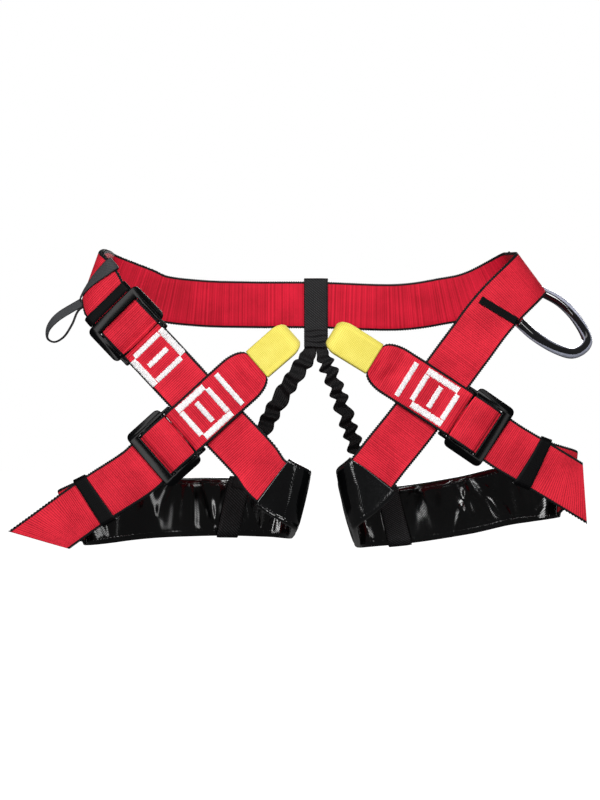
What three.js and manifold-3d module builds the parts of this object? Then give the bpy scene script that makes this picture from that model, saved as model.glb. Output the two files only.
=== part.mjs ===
import * as THREE from 'three';
import { mergeVertices } from 'three/addons/utils/BufferGeometryUtils.js';
import Module from 'manifold-3d';

// Caving sit harness held up in its worn form, seen from the front.
// Millimetres, X to the viewer's right, Y from front to back, Z up.
// The origin is the middle of the waist hollow at the height of the belt.

// Webbing and gaps
const WEB_WIDTH = 45;
const WEB_THICK = 2;
const GAP = 0.3;
const LAYER = WEB_THICK + GAP;
const STEP = 9.5;
const WEB_STRIPS = 3;
const CURVE_DIVISIONS = 600;
const SEARCH_DIVISIONS = 800;
const ARC_STEPS = 8;
const BEND_STEPS = 4;
const WELD = 1e-4;

// Hollow form: half depth at the middle, and how the front and back fall away to the sides
const HALF_DEPTH = 75;
const FRONT_SLOPE = 0.17;
const FRONT_RADIUS = 30;
const BACK_SLOPE = 0.25;
const BACK_RADIUS = 120;

// Adjuster buckle: stations along the strap from the outer edge of the outer bar
const BUCKLE = {
  halfWidth: 30.5, neckHalf: 25.6, length: 47.5, shoulder: 39, corner: 5, thick: 3,
  outerSlotHalf: 23.5, innerSlotHalf: 23.1, outerBar: 9.6, centreStart: 14.8, centreEnd: 35.5, endBar: 43.2,
  turnCentre: 34.5, overStart: 15.1, downAt: 12.9, underStart: 10.7, tailStart: 7.7, bulge: 1.1,
  foldInset: 0.7, foldLead: 5, turnLead: 1, overClear: 0.6, endCorner: 1.5, cornerSteps: 5,
  archSteps: 5, slantSteps: 4,
};
const LOAD_LIFT = WEB_THICK / 2;
const TAIL_LIFT = LOAD_LIFT + LAYER;
const FRAME_LIFT = TAIL_LIFT + LAYER + (BUCKLE.thick - WEB_THICK) / 2;
const OVER_LIFT = FRAME_LIFT + BUCKLE.thick / 2 + GAP + WEB_THICK / 2;
const HIP_DROP = -2 * LAYER;

// Lengths over which a strap comes down from a buckle, the belt comes in to the hip buckle, and the
// folded flap of the cross strap lies under it
const SETTLE = 12;
const HIP_SETTLE = 60;
const FLAP = 48;

// Adjusters: place of the outer bar's edge on the front, and direction to the fixed strap
const ADJUSTERS = {
  hip: { x: -183, z: -10, angle: -46, drop: HIP_DROP },
  leg_left: { x: -149.8, z: -147.2, angle: 41.5, drop: 0 },
  leg_right: { x: 158.5, z: -126.5, angle: 146, drop: 0 },
};

// Places where webbing turns from the front to the back: a point on the outline, tilt of the
// turn's axis, side it faces, radius of the turn
const TURNS = {
  hip_left: turn({ x: -191.7, z: 50.7, tilt: 70, side: -1, radius: 16 }),
  hip_right: turn({ x: 181, z: 37.3, tilt: 127, side: 1, radius: 34 }),
  crotch_left: turn({ x: -10.2, z: -160, tilt: 76, side: 1, radius: 20 }),
  crotch_right: turn({ x: 27.5, z: -180, tilt: 105, side: -1, radius: 20 }),
  outer_left: turn({ x: -232, z: -172.4, tilt: 107, side: -1, radius: 20 }),
  outer_right: turn({ x: 231.5, z: -150, tilt: 84, side: 1, radius: 20 }),
};

// The strap that comes round the right hip goes on down to the right crotch turn
TURNS.hip_right.next = TURNS.crotch_right;

// Centre lines, one row for each bend; on names the turn in front of which the row lies
const WAIST_ROWS = [
  { on: 'hip_right', x: 46.3, z: -157.6 },
  { on: 'hip_right', x: 58.3, z: -141.9 },
  { on: 'hip_right', x: 82.5, z: -112 },
  { on: 'hip_right', x: 131.9, z: -45.7 },
  { on: 'hip_right', x: 162, z: -7.5 },
  { on: 'back', x: 154, z: 11 },
  { on: 'back', x: 118.5, z: 2.5 },
  { on: 'back', x: 80.6, z: -2.4 },
  { on: 'back', x: 0, z: 0 },
  { on: 'back', x: -63.5, z: 0 },
  { on: 'back', x: -111, z: 1 },
  { on: 'back', x: -148.8, z: 5.5 },
  { on: 'back', x: -168, z: 13.5 },
  { on: 'hip_left', x: -203.5, z: 18.5 },
  { on: 'hip_left', adjuster: 'hip', ahead: -8 },
  { on: 'hip_left', adjuster: 'hip', ahead: 0 },
];
const HIP_ROWS = [
  { on: 'hip_left', adjuster: 'hip', ahead: -30 },
  { on: 'hip_left', adjuster: 'hip', ahead: -15 },
  { on: 'hip_left', adjuster: 'hip', ahead: 0 },
];
const LEG_LEFT_ROWS = [
  { on: 'crotch_left', adjuster: 'hip', ahead: 0 },
  { on: 'crotch_left', adjuster: 'hip', ahead: 45 },
  { on: 'crotch_left', x: -98, z: -99.5 },
  { on: 'crotch_left', x: -56, z: -143.5 },
  { on: 'crotch_left', x: -40, z: -163 },
  { on: 'back', x: -45, z: -195.5 },
  { on: 'back', x: -111, z: -194 },
  { on: 'back', x: -190, z: -198.5 },
  { on: 'outer_left', x: -198.6, z: -181 },
  { on: 'outer_left', adjuster: 'leg_left', ahead: -12 },
  { on: 'outer_left', adjuster: 'leg_left', ahead: 0 },
];
const LEG_RIGHT_ROWS = [
  { on: 'crotch_right', x: 82.5, z: -112 },
  { on: 'crotch_right', x: 58.3, z: -141.9 },
  { on: 'crotch_right', x: 42, z: -163.8 },
  { on: 'back', x: 62, z: -204 },
  { on: 'back', x: 137.3, z: -192.8 },
  { on: 'back', x: 195, z: -180 },
  { on: 'outer_right', x: 193, z: -147.5 },
  { on: 'outer_right', adjuster: 'leg_right', ahead: -12 },
  { on: 'outer_right', adjuster: 'leg_right', ahead: 0 },
];
const TIE_LEFT_ROWS = [
  { on: 'front', adjuster: 'leg_left', ahead: 0 },
  { on: 'front', adjuster: 'leg_left', ahead: 45 },
  { on: 'front', x: -70.3, z: -76 },
  { on: 'front', x: -21.5, z: -33.7 },
];
const TIE_RIGHT_ROWS = [
  { on: 'front', adjuster: 'leg_right', ahead: 0 },
  { on: 'front', adjuster: 'leg_right', ahead: 45 },
  { on: 'front', x: 74.1, z: -71.2 },
  { on: 'front', x: 12, z: -33 },
];

// Free tails: straight past the keepers, length past the outer bar, slant of the cut end, and how
// far the tail stands off where it goes round the hip, between two distances from the bar
const TAIL_LEFT_ROWS = [
  { on: 'front', x: -249, z: -217 },
  { on: 'front', x: -198.6, z: -181 },
  { on: 'front', adjuster: 'leg_left', ahead: -12 },
  { on: 'front', adjuster: 'leg_left', ahead: 0 },
];
const TAIL_RIGHT_ROWS = [
  { on: 'front', x: 239.3, z: -175.2 },
  { on: 'front', x: 193, z: -147.5 },
  { on: 'front', adjuster: 'leg_right', ahead: -12 },
  { on: 'front', adjuster: 'leg_right', ahead: 0 },
];
const TAIL_EASE = { from: 13, to: 30 };
const TAILS = {
  hip: { length: 215, slant: 0.5, ease: 0.8 },
  leg_left: { length: 121, slant: 0.82, ease: 0 },
  leg_right: { length: 94, slant: 0.71, ease: 0 },
};

// Eyes of the tie-in straps
const EYE = {
  width: 25, radius: 7, seam: 96, spreadFrom: 94, sleeveFrom: 130, arc: 80,
  taperFrom: 108, taperTo: 129.7, taperShares: [0.5, 0.8, 1],
};
const SLEEVE = { width: 30, wall: 1.2, slack: 0.35, sideRoom: 1 };

// Leg pads: width at the mouths and at the back, wall, slack round the webbing, gathers
const PAD = {
  mouth: 51, back: 56, wall: 1.4, slack: 0.9, overlap: 10, mouthFade: 60, endFade: 40,
  ripple: 1.3, rippleFade: 25, pitch: 21, longPitch: 34, skew: 0.35, cuts: 3,
};
const PADS = {
  leg_pad_left: { mouth: { on: 'crotch_left', x: -41, z: -164 }, end: { on: 'back', x: -233, z: -201 } },
  leg_pad_right: { mouth: { on: 'crotch_right', x: 48.5, z: -156 }, end: { on: 'back', x: 232, z: -172 } },
};
const PAD_LOOP = { width: 21, wall: 1.5, rows: [-1, -0.5, 0, 0.5, 1] };
const PAD_LOOPS = {
  pad_loop_left: { x: -79, z: -194.5, lean: 0.2 },
  pad_loop_right: { x: 74, z: -203, lean: -0.12 },
};

// Keepers: distance behind the outer bar, length along the strap, lean, room round the webbing
const KEEPER = { wall: 1.2, rows: [-0.5, 0, 0.5], cuts: 4 };
const KEEPERS = {
  keeper_hip: { adjuster: 'hip', behind: 5.2, length: 9, lean: 0, slack: 1.7 },
  keeper_leg_left: { adjuster: 'leg_left', behind: 59, length: 13, lean: 0.12, slack: 1 },
  keeper_leg_right: { adjuster: 'leg_right', behind: 40, length: 13, lean: -0.1, slack: 1.2 },
};

// Back strap: its rear end is a little shorter; gathered elastics sewn in between its ends
const BACK_STRAP = { width: 23, thick: 1.8, bottom: -41, shorter: 2.4, rows: [-30, -10, 10] };
const RISER = {
  width: 17, top: 8.5, thick: 2, pitch: 11.5, wave: 2.4, ruffle: 1.6, steps: 46,
  topLift: 1, bottomLift: -6.8, liftFrom: 10, liftTo: 20,
  flatTop: 14, waveFrom: 30, wideFrom: 34, waveTo: 26, flatEnd: 12,
};
const RISER_LEFT_ROWS = [
  { x: -5, z: -34 }, { x: -7, z: -46 }, { x: -18.3, z: -65 }, { x: -33.7, z: -89 },
  { x: -52, z: -122.4 }, { x: -66, z: -150 }, { x: -74, z: -176 },
];
const RISER_RIGHT_ROWS = [
  { x: 5, z: -34 }, { x: 6, z: -46 }, { x: 16.4, z: -72 }, { x: 24.1, z: -93.5 },
  { x: 32, z: -118.6 }, { x: 42, z: -146 }, { x: 66, z: -184 },
];

// Loops at the hips
const GEAR_LOOP = { diameter: 9.6, sides: 8, steps: 22 };
const GEAR_LOOP_ROWS = [
  { x: 178, y: -56.8, z: -22.8 }, { x: 192, y: -52.5, z: -34.5 }, { x: 213, y: -44, z: -46 },
  { x: 231, y: -30, z: -49.5 }, { x: 246, y: -12, z: -38.5 }, { x: 239, y: 2, z: -17.5 },
  { x: 225, y: 10, z: -1 }, { x: 206.9, y: 15.2, z: 10 },
];
const GEAR_TAPE = { width: 7, thick: 1.2, rearShare: 0.4 };
const GEAR_TAPE_ROWS = [
  { on: 'front', x: 143.9, z: -3 },
  { on: 'front', x: 176.5, z: -22 },
];
const ACCESSORY = {
  width: 7.5, thick: 1.2, behind: 29.5, lean: 0, slack: 2, cuts: 6, steps: 16,
  twist: 90, twistFrom: 0.15, twistTo: 0.6,
};
const ACCESSORY_ROWS = [
  { out: -0.53, back: 0, up: 1.81 }, { out: -24.3, back: -1.5, up: -13.4 },
  { out: -31.8, back: -1, up: -23.4 }, { out: -32.2, back: 0, up: -31.3 },
  { out: -26.6, back: 0.5, up: -34.4 }, { out: -18.6, back: 1, up: -30.5 },
  { out: -10.7, back: 1.5, up: -18.9 }, { out: -5.1, back: 2, up: -6.4 },
  { out: 1.78, back: -0.7, up: -1.71 },
];

const COLOURS = {
  webbing_red: { color: 0xc8202f, roughness: 0.75, metalness: 0 },
  sleeve_yellow: { color: 0xd8cc2e, roughness: 0.7, metalness: 0 },
  pad_black: { color: 0x17181a, roughness: 0.4, metalness: 0 },
  webbing_black: { color: 0x16161a, roughness: 0.8, metalness: 0 },
  elastic_black: { color: 0x18181b, roughness: 0.85, metalness: 0 },
  steel_black: { color: 0x1b1c1f, roughness: 0.35, metalness: 0.6 },
  tube_black: { color: 0x2b2d31, roughness: 0.25, metalness: 0 },
  tape_grey: { color: 0x2e3136, roughness: 0.7, metalness: 0 },
};

function turn({ x, z, tilt, side, radius }) {
  const angle = THREE.MathUtils.degToRad(tilt);
  const out = new THREE.Vector2(Math.sin(angle), -Math.cos(angle)).multiplyScalar(side);
  const axis = new THREE.Vector2(Math.cos(angle), Math.sin(angle));
  const start = new THREE.Vector2(x, z).addScaledVector(out, -radius);
  const quarter = radius * Math.PI / 2;
  const straight = 2 * (HALF_DEPTH - radius);
  return { out, axis, start, radius, quarter, straight, length: 2 * quarter + straight };
}

// Front and back fall away from the middle to the sides
function roundToBody(x, y, z) {
  const front = HALF_DEPTH - FRONT_SLOPE * (Math.hypot(x, FRONT_RADIUS) - FRONT_RADIUS);
  const back = HALF_DEPTH - BACK_SLOPE * (Math.hypot(x, BACK_RADIUS) - BACK_RADIUS);
  const inside = THREE.MathUtils.clamp(y, -HALF_DEPTH, HALF_DEPTH);
  const share = (inside + HALF_DEPTH) / (2 * HALF_DEPTH);
  return new THREE.Vector3(x, share * (front + back) - front + (y - inside), z);
}

// A point on the front, carried into the flat sheet of the back
function frontToSheet(bend, x, z) {
  const point = new THREE.Vector2(x, z).sub(bend.start);
  const reach = bend.length - point.dot(bend.out);
  const along = point.dot(bend.axis);
  return bend.start.clone().addScaledVector(bend.out, reach).addScaledVector(bend.axis, along);
}

// A point on the front, carried on round a second turn where it reaches that far
function frontPoint(x, z, lift, second) {
  if (second) {
    const offset = new THREE.Vector2(x, z).sub(second.start);
    const past = offset.dot(second.out);
    if (past > 0) return turnedPoint(second, second.length - past, offset.dot(second.axis), lift);
  }
  return roundToBody(x, -HALF_DEPTH - lift, z);
}

// A point of the sheet, laid round a turn; lift is measured away from the hollow
function turnedPoint(bend, reach, along, lift) {
  const afterStraight = bend.quarter + bend.straight;
  let angle = 0;
  let outward = 0;
  let y = HALF_DEPTH;
  if (reach >= bend.length) {
    const place = bend.start.clone().addScaledVector(bend.out, bend.length - reach);
    place.addScaledVector(bend.axis, along);
    return frontPoint(place.x, place.y, lift, bend.next);
  }
  if (reach < bend.quarter) {
    angle = reach / bend.radius;
    outward = bend.radius * Math.sin(angle);
    y = HALF_DEPTH - bend.radius + bend.radius * Math.cos(angle);
  } else if (reach < afterStraight) {
    angle = Math.PI / 2;
    outward = bend.radius;
    y = HALF_DEPTH - bend.radius - (reach - bend.quarter);
  } else {
    angle = Math.PI / 2 + (reach - afterStraight) / bend.radius;
    outward = bend.radius * Math.sin(angle);
    y = bend.radius - HALF_DEPTH + bend.radius * Math.cos(angle);
  }
  const side = outward + lift * Math.sin(angle);
  const place = bend.start.clone().addScaledVector(bend.out, side).addScaledVector(bend.axis, along);
  return roundToBody(place.x, y + lift * Math.cos(angle), place.y);
}

function adjusterPoint(name, ahead) {
  const { x, z, angle } = ADJUSTERS[name];
  const heading = THREE.MathUtils.degToRad(angle);
  return new THREE.Vector2(x + ahead * Math.cos(heading), z + ahead * Math.sin(heading));
}

// A strap's centre line through its rows, with the turns that it passes
function strapLine(rows, bends) {
  const toSheet = (row) => {
    const at = row.adjuster ? adjusterPoint(row.adjuster, row.ahead) : new THREE.Vector2(row.x, row.z);
    return TURNS[row.on] ? frontToSheet(TURNS[row.on], at.x, at.y) : at;
  };
  const knots = rows.map(toSheet).map((at) => new THREE.Vector3(at.x, at.y, 0));
  const curve = new THREE.CatmullRomCurve3(knots, false, 'centripetal');
  curve.arcLengthDivisions = CURVE_DIVISIONS;
  const length = curve.getLength();
  const onFront = rows.every((row) => row.on === 'front');
  const at = (s) => {
    const u = THREE.MathUtils.clamp(s / length, 0, 1);
    const heading = curve.getTangentAt(u);
    const point = curve.getPointAt(u).addScaledVector(heading, s - u * length);
    return { point, heading };
  };
  const place = (s, across, lift) => {
    const { point, heading } = at(s);
    if (onFront) {
      const x = point.x + across * heading.y;
      return roundToBody(x, -HALF_DEPTH - lift, point.y - across * heading.x);
    }
    const flat = new THREE.Vector2(point.x - across * heading.y, point.y + across * heading.x);
    for (const bend of bends) {
      const offset = flat.clone().sub(bend.start);
      const reach = offset.dot(bend.out);
      if (reach > 0) return turnedPoint(bend, reach, offset.dot(bend.axis), lift);
    }
    return roundToBody(flat.x, HALF_DEPTH + lift, flat.y);
  };
  const turning = (s) => bends.some((bend) => {
    const { point } = at(s);
    const reach = new THREE.Vector2(point.x, point.y).sub(bend.start).dot(bend.out);
    return reach > -WEB_WIDTH / 2 && reach < bend.length + WEB_WIDTH / 2;
  });
  const near = (row) => {
    const goal = toSheet(row);
    let best = 0;
    let least = Infinity;
    for (let i = 0; i <= SEARCH_DIVISIONS; i += 1) {
      const s = length * i / SEARCH_DIVISIONS;
      const { point } = at(s);
      const distance = Math.hypot(point.x - goal.x, point.y - goal.y);
      if (distance < least) {
        least = distance;
        best = s;
      }
    }
    return best;
  };
  return { length, place, turning, near };
}

function closedMesh(name, geometry, slot) {
  const bare = new THREE.BufferGeometry();
  bare.setAttribute('position', geometry.getAttribute('position'));
  if (geometry.index) bare.setIndex(geometry.index);
  const joined = mergeVertices(bare, WELD);
  const index = joined.index.array;
  const at = (i) => new THREE.Vector3().fromBufferAttribute(joined.getAttribute('position'), i);
  let volume = 0;
  for (let i = 0; i < index.length; i += 3) {
    volume += at(index[i]).dot(at(index[i + 1]).cross(at(index[i + 2])));
  }
  if (volume < 0) {
    for (let i = 0; i < index.length; i += 3) {
      [index[i + 1], index[i + 2]] = [index[i + 2], index[i + 1]];
    }
  }
  joined.computeVertexNormals();
  const mesh = new THREE.Mesh(joined, new THREE.MeshStandardMaterial(COLOURS[slot]));
  mesh.name = name;
  mesh.material.name = slot;
  return mesh;
}

// Stations of a strap from one distance to another, closer together in the turns
function stations(line, from, to, lift, extra = {}) {
  const ahead = Math.sign(to - from);
  const inner = [];
  const first = Math.ceil((Math.min(from, to) + STEP / 3) / STEP);
  const last = Math.floor((Math.max(from, to) - STEP / 3) / STEP);
  for (let k = first; k <= last; k += 1) {
    if (k % 2 === 0 || line.turning(k * STEP)) inner.push(k * STEP);
  }
  if (ahead < 0) inner.reverse();
  return [from, ...inner, to].map((s) => ({ s, lift: lift(s), ...extra }));
}

// Stations on an arc drawn in the side view of a strap
function arcStations(centreS, centreLift, radius, fromDegrees, toDegrees, count, extra = {}) {
  const list = [];
  for (let i = 0; i <= count; i += 1) {
    const angle = THREE.MathUtils.degToRad(THREE.MathUtils.lerp(fromDegrees, toDegrees, i / count));
    const s = centreS + radius * Math.cos(angle);
    list.push({ s, lift: centreLift + radius * Math.sin(angle), ...extra });
  }
  return list;
}

// Direction square to the strip at each station, in the side view
function sideNormals(list) {
  return list.map((station, i) => {
    const before = list[Math.max(i - 1, 0)];
    const after = list[Math.min(i + 1, list.length - 1)];
    const heading = new THREE.Vector2(after.s - before.s, after.lift - before.lift).normalize();
    return new THREE.Vector2(-heading.y, heading.x);
  });
}

// A strip with a flat section along its stations
function webStrip(line, list, { width, thick = WEB_THICK, strips = WEB_STRIPS }) {
  const count = list.length - 1;
  const geometry = new THREE.BoxGeometry(1, 1, 1, count, 1, strips);
  const normals = sideNormals(list);
  const position = geometry.getAttribute('position');
  for (let i = 0; i < position.count; i += 1) {
    const row = Math.round((position.getX(i) + 0.5) * count);
    const station = list[row];
    const across = position.getZ(i) * width(station, row, list);
    const up = position.getY(i) * thick;
    const s = station.s + up * normals[row].x + across * (station.slant ?? 0);
    const place = station.place ?? line.place;
    const at = place(s, across, station.lift + up * normals[row].y);
    position.setXYZ(i, at.x, at.y, at.z);
  }
  return geometry;
}

// A hollow band or sleeve round a strip: the section is a ring, open at both ends
function webSleeve(line, list, { width, inner, innerThick, outerThick, ripple, cuts = 2 }) {
  const ring = new THREE.Shape();
  const half = 0.5;
  const side = (path, end, top) => {
    for (let i = 0; i <= cuts; i += 1) path.push(new THREE.Vector2(end * (half - i / cuts), top * half));
  };
  const outline = [];
  side(outline, 1, -1);
  side(outline, -1, 1);
  ring.setFromPoints(outline.reverse());
  const share = 0.9;
  const hole = new THREE.Path(outline.map((p) => p.clone().multiplyScalar(share)).reverse());
  ring.holes.push(hole);
  const count = list.length - 1;
  const geometry = new THREE.ExtrudeGeometry(ring, { depth: 1, steps: count, bevelEnabled: false });
  const normals = sideNormals(list);
  const position = geometry.getAttribute('position');
  for (let i = 0; i < position.count; i += 1) {
    const row = Math.round(position.getZ(i) * count);
    const station = list[row];
    const isHole = Math.abs(Math.abs(position.getY(i)) - half * share) < 1e-3;
    const scale = isHole ? 1 / share : 1;
    const across = position.getX(i) * scale * (isHole ? inner(row, list) : width(row, list));
    const face = Math.sign(position.getY(i));
    const thick = isHole ? innerThick : outerThick;
    const puff = isHole || !ripple ? 0 : ripple(station, across, face, row, list);
    const up = face * (thick / 2 + puff);
    const s = station.s + up * normals[row].x + across * (station.slant ?? 0);
    const at = line.place(s, across, station.lift + up * normals[row].y);
    position.setXYZ(i, at.x, at.y, at.z);
  }
  return geometry;
}

const kernel = await Module();
kernel.setup();
const constant = (value) => () => value;
const smooth = THREE.MathUtils.smoothstep;

// The adjusting strand: in under the outer bar, over the centre bar, back out as the tail
function strandStations(line, from, lift, name, tailLine) {
  const { drop } = ADJUSTERS[name];
  const b = BUCKLE;
  const base = line.length;
  const top = drop + OVER_LIFT;
  const load = drop + LOAD_LIFT;
  const tail = drop + TAIL_LIFT;
  const half = (top - load) / 2;
  const overRadius = OVER_LIFT - FRAME_LIFT - b.overClear;
  const downRadius = b.downAt - b.underStart;
  const list = stations(line, from, base + b.turnCentre - b.turnLead, lift);
  const along = tailLine ?? line;
  const free = { place: (s, across, up) => along.place(along.length + s - base, across, up) };
  list.push(...arcStations(base + b.turnCentre, load + half, half, -90, 90, ARC_STEPS));
  const run = b.turnCentre - b.overStart;
  for (let i = 1; i < b.archSteps; i += 1) {
    const share = i / b.archSteps;
    const s = base + b.turnCentre - run * share;
    list.push({ s, lift: top + b.bulge * Math.sin(Math.PI * share), ...free });
  }
  list.push(...arcStations(base + b.overStart, top - overRadius, overRadius, 90, 180, BEND_STEPS, free));
  list.push(...arcStations(base + b.underStart, tail + downRadius, downRadius, 0, -90, BEND_STEPS, free));
  const { length, slant, ease } = TAILS[name];
  const standOff = (s) => tail + ease * smooth(base - s, TAIL_EASE.from, TAIL_EASE.to);
  const cut = stations(line, base + b.tailStart, base - length, standOff, free);
  cut.slice(-b.slantSteps).forEach((station, i) => {
    station.slant = slant * (i + 1) / b.slantSteps;
  });
  list.push(...cut);
  return list;
}

// The fold of a fixed strap round the end bar of an adjuster
function foldStations(drop) {
  const lower = drop + TAIL_LIFT;
  const upper = drop + OVER_LIFT;
  const centre = BUCKLE.endBar + BUCKLE.foldInset;
  return arcStations(centre, (lower + upper) / 2, (upper - lower) / 2, 270, 90, ARC_STEPS);
}

const waistLine = strapLine(WAIST_ROWS, [TURNS.hip_left, TURNS.hip_right]);
const hipLine = strapLine(HIP_ROWS, [TURNS.hip_left]);
const legLines = {
  leg_left: strapLine(LEG_LEFT_ROWS, [TURNS.crotch_left, TURNS.outer_left]),
  leg_right: strapLine(LEG_RIGHT_ROWS, [TURNS.crotch_right, TURNS.outer_right]),
};
const tailLines = {
  leg_left: strapLine(TAIL_LEFT_ROWS, []),
  leg_right: strapLine(TAIL_RIGHT_ROWS, []),
};
const tieLines = {
  leg_left: strapLine(TIE_LEFT_ROWS, []),
  leg_right: strapLine(TIE_RIGHT_ROWS, []),
};

function waistBelt() {
  const middle = waistLine.near({ on: 'back', x: 0, z: 0 });
  const hip = waistLine.length - HIP_SETTLE;
  const lift = (s) => LOAD_LIFT + HIP_DROP * smooth(s, middle, hip);
  const list = strandStations(waistLine, 0, lift, 'hip');
  return webStrip(waistLine, list, { width: constant(WEB_WIDTH) });
}

function crossStrapLeft() {
  const line = legLines.leg_left;
  const flapEnd = BUCKLE.length + FLAP;
  const settleEnd = BUCKLE.length + SETTLE;
  const lower = HIP_DROP + TAIL_LIFT;
  const upper = HIP_DROP + OVER_LIFT;
  const mouth = line.near(PADS.leg_pad_left.mouth);
  const list = stations(line, flapEnd, BUCKLE.endBar + BUCKLE.foldLead, constant(lower));
  list.push(...foldStations(HIP_DROP));
  const settle = (s) => THREE.MathUtils.lerp(upper, LOAD_LIFT, smooth(s, BUCKLE.length, settleEnd));
  for (let i = 0; i < BEND_STEPS; i += 1) {
    const s = BUCKLE.length + SETTLE * i / BEND_STEPS;
    list.push({ s, lift: settle(s) });
  }
  list.push(...stations(line, settleEnd, mouth + PAD.overlap, constant(LOAD_LIFT)));
  return webStrip(line, list, { width: constant(WEB_WIDTH) });
}

function legStrap(name) {
  const line = legLines[name];
  const from = line.near(PADS[name.replace('leg', 'leg_pad')].end) - PAD.overlap;
  const list = strandStations(line, from, constant(LOAD_LIFT), name, tailLines[name]);
  return webStrip(line, list, { width: constant(WEB_WIDTH) });
}

// Side view of a tie-in strap: buckle fold, double layer over the cross strap, spread to the eye
function eyeStations(line) {
  const tip = line.length;
  const middle = TAIL_LIFT + LAYER / 2;
  const reach = EYE.radius + WEB_THICK / 2 + GAP + SLEEVE.wall;
  const centre = tip - reach;
  const spread = (s) => LAYER / 2 + (EYE.radius - LAYER / 2) * smooth(s, EYE.spreadFrom, centre);
  const upper = (s) => middle + spread(s);
  const lower = (s) => middle - spread(s);
  return { centre, middle, upper, lower };
}

// Stations of one layer of a tie-in strap, closer together where its shoulders narrow
function layerStations(line, from, to, lift) {
  const narrow = EYE.taperShares.map((share) => THREE.MathUtils.lerp(EYE.taperFrom, EYE.taperTo, share));
  const even = stations(line, from, to, lift).map((station) => station.s);
  const kept = even.filter((s) => s < EYE.taperFrom || s > EYE.taperTo);
  const ahead = Math.sign(to - from);
  const all = [...kept, ...narrow].sort((a, b) => (a - b) * ahead);
  return all.map((s) => ({ s, lift: lift(s) }));
}

function tieInStrap(name) {
  const line = tieLines[name];
  const { centre, middle, upper, lower } = eyeStations(line);
  const settleEnd = BUCKLE.length + SETTLE;
  const raise = (s) => (OVER_LIFT - upper(settleEnd)) * (1 - smooth(s, BUCKLE.length, settleEnd));
  const foldStart = BUCKLE.endBar + BUCKLE.foldLead;
  const list = stations(line, EYE.seam, foldStart, (s) => lower(Math.min(s, settleEnd)));
  list.push(...foldStations(0));
  const fine = { ...line, turning: constant(true) };
  list.push(...layerStations(fine, BUCKLE.length, centre, (s) => upper(s) + raise(s)));
  list.push(...arcStations(centre, middle, EYE.radius, EYE.arc, -EYE.arc, ARC_STEPS));
  list.push(...layerStations(fine, centre, EYE.seam + 1, lower));
  const width = ({ s }) => {
    const share = THREE.MathUtils.inverseLerp(EYE.taperFrom, EYE.taperTo, s);
    const round = Math.sqrt(1 - THREE.MathUtils.clamp(share, 0, 1) ** 2);
    return THREE.MathUtils.lerp(EYE.width, WEB_WIDTH, round);
  };
  return webStrip(line, list, { width });
}

function eyeSleeve(name) {
  const line = tieLines[name];
  const { centre, middle, upper, lower } = eyeStations(line);
  const fine = { ...line, turning: constant(true) };
  const list = stations(fine, EYE.sleeveFrom, centre, upper);
  list.push(...arcStations(centre, middle, EYE.radius, EYE.arc, -EYE.arc, ARC_STEPS));
  list.push(...stations(fine, centre, EYE.sleeveFrom, lower));
  const innerThick = WEB_THICK + 2 * SLEEVE.slack;
  return webSleeve(line, list, {
    width: constant(SLEEVE.width), inner: constant(EYE.width + 2 * SLEEVE.sideRoom), innerThick,
    outerThick: innerThick + 2 * SLEEVE.wall,
  });
}

// A leg pad: a sleeve with gathers that fade out at the mouths
function legPad(name) {
  const key = name.replace('leg_pad', 'leg');
  const line = legLines[key];
  const from = line.near(PADS[name].mouth);
  const to = line.near(PADS[name].end);
  const fine = { ...line, turning: constant(true) };
  const list = stations(fine, from, to, constant(LOAD_LIFT));
  const innerThick = WEB_THICK + 2 * PAD.slack;
  const width = (row, all) => {
    const s = all[row].s;
    const ends = Math.min(smooth(s, from, from + PAD.mouthFade), 1 - smooth(s, to - PAD.endFade, to));
    return THREE.MathUtils.lerp(PAD.mouth, PAD.back, ends);
  };
  const ripple = (station, across, face, row, all) => {
    const s = all[row].s;
    const fade = smooth(s, from, from + PAD.rippleFade) * (1 - smooth(s, to - PAD.rippleFade, to));
    const skew = across * PAD.skew * face;
    const short = Math.sin(2 * Math.PI * (s + skew) / PAD.pitch);
    const long = Math.sin(2 * Math.PI * (s - 2 * skew) / PAD.longPitch);
    return PAD.ripple * fade * (2 + short + long) / 4;
  };
  return webSleeve(line, list, {
    width, inner: (row, all) => width(row, all) - 2 * PAD.wall, innerThick,
    outerThick: innerThick + 2 * PAD.wall, ripple, cuts: PAD.cuts,
  });
}

function padLoop(name) {
  const line = legLines[name.replace('pad_loop', 'leg')];
  const { x, z, lean } = PAD_LOOPS[name];
  const s = line.near({ on: 'back', x, z });
  const reach = PAD_LOOP.width / 2;
  const list = PAD_LOOP.rows.map((side) => ({ s: s + side * reach, lift: LOAD_LIFT, slant: lean }));
  const innerThick = WEB_THICK + 2 * (PAD.slack + PAD.wall + PAD.ripple + GAP);
  return webSleeve(line, list, {
    width: constant(PAD.back + 2 * (PAD_LOOP.wall + GAP)), inner: constant(PAD.back + 2 * GAP), innerThick,
    outerThick: innerThick + 2 * PAD_LOOP.wall,
  });
}

function keeper(name) {
  const { adjuster, behind, length, lean, slack } = KEEPERS[name];
  const line = adjuster === 'hip' ? hipLine : legLines[adjuster];
  const { drop } = ADJUSTERS[adjuster];
  const centre = line.length - behind;
  const lift = drop + (LOAD_LIFT + TAIL_LIFT) / 2;
  const list = KEEPER.rows.map((side) => ({ s: centre + side * length, lift, slant: lean }));
  const innerThick = WEB_THICK + LAYER + 2 * slack;
  const inner = WEB_WIDTH + 2 * slack;
  return webSleeve(line, list, {
    width: constant(inner + 2 * KEEPER.wall), inner: constant(inner), innerThick,
    outerThick: innerThick + 2 * KEEPER.wall, cuts: KEEPER.cuts,
  });
}

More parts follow.
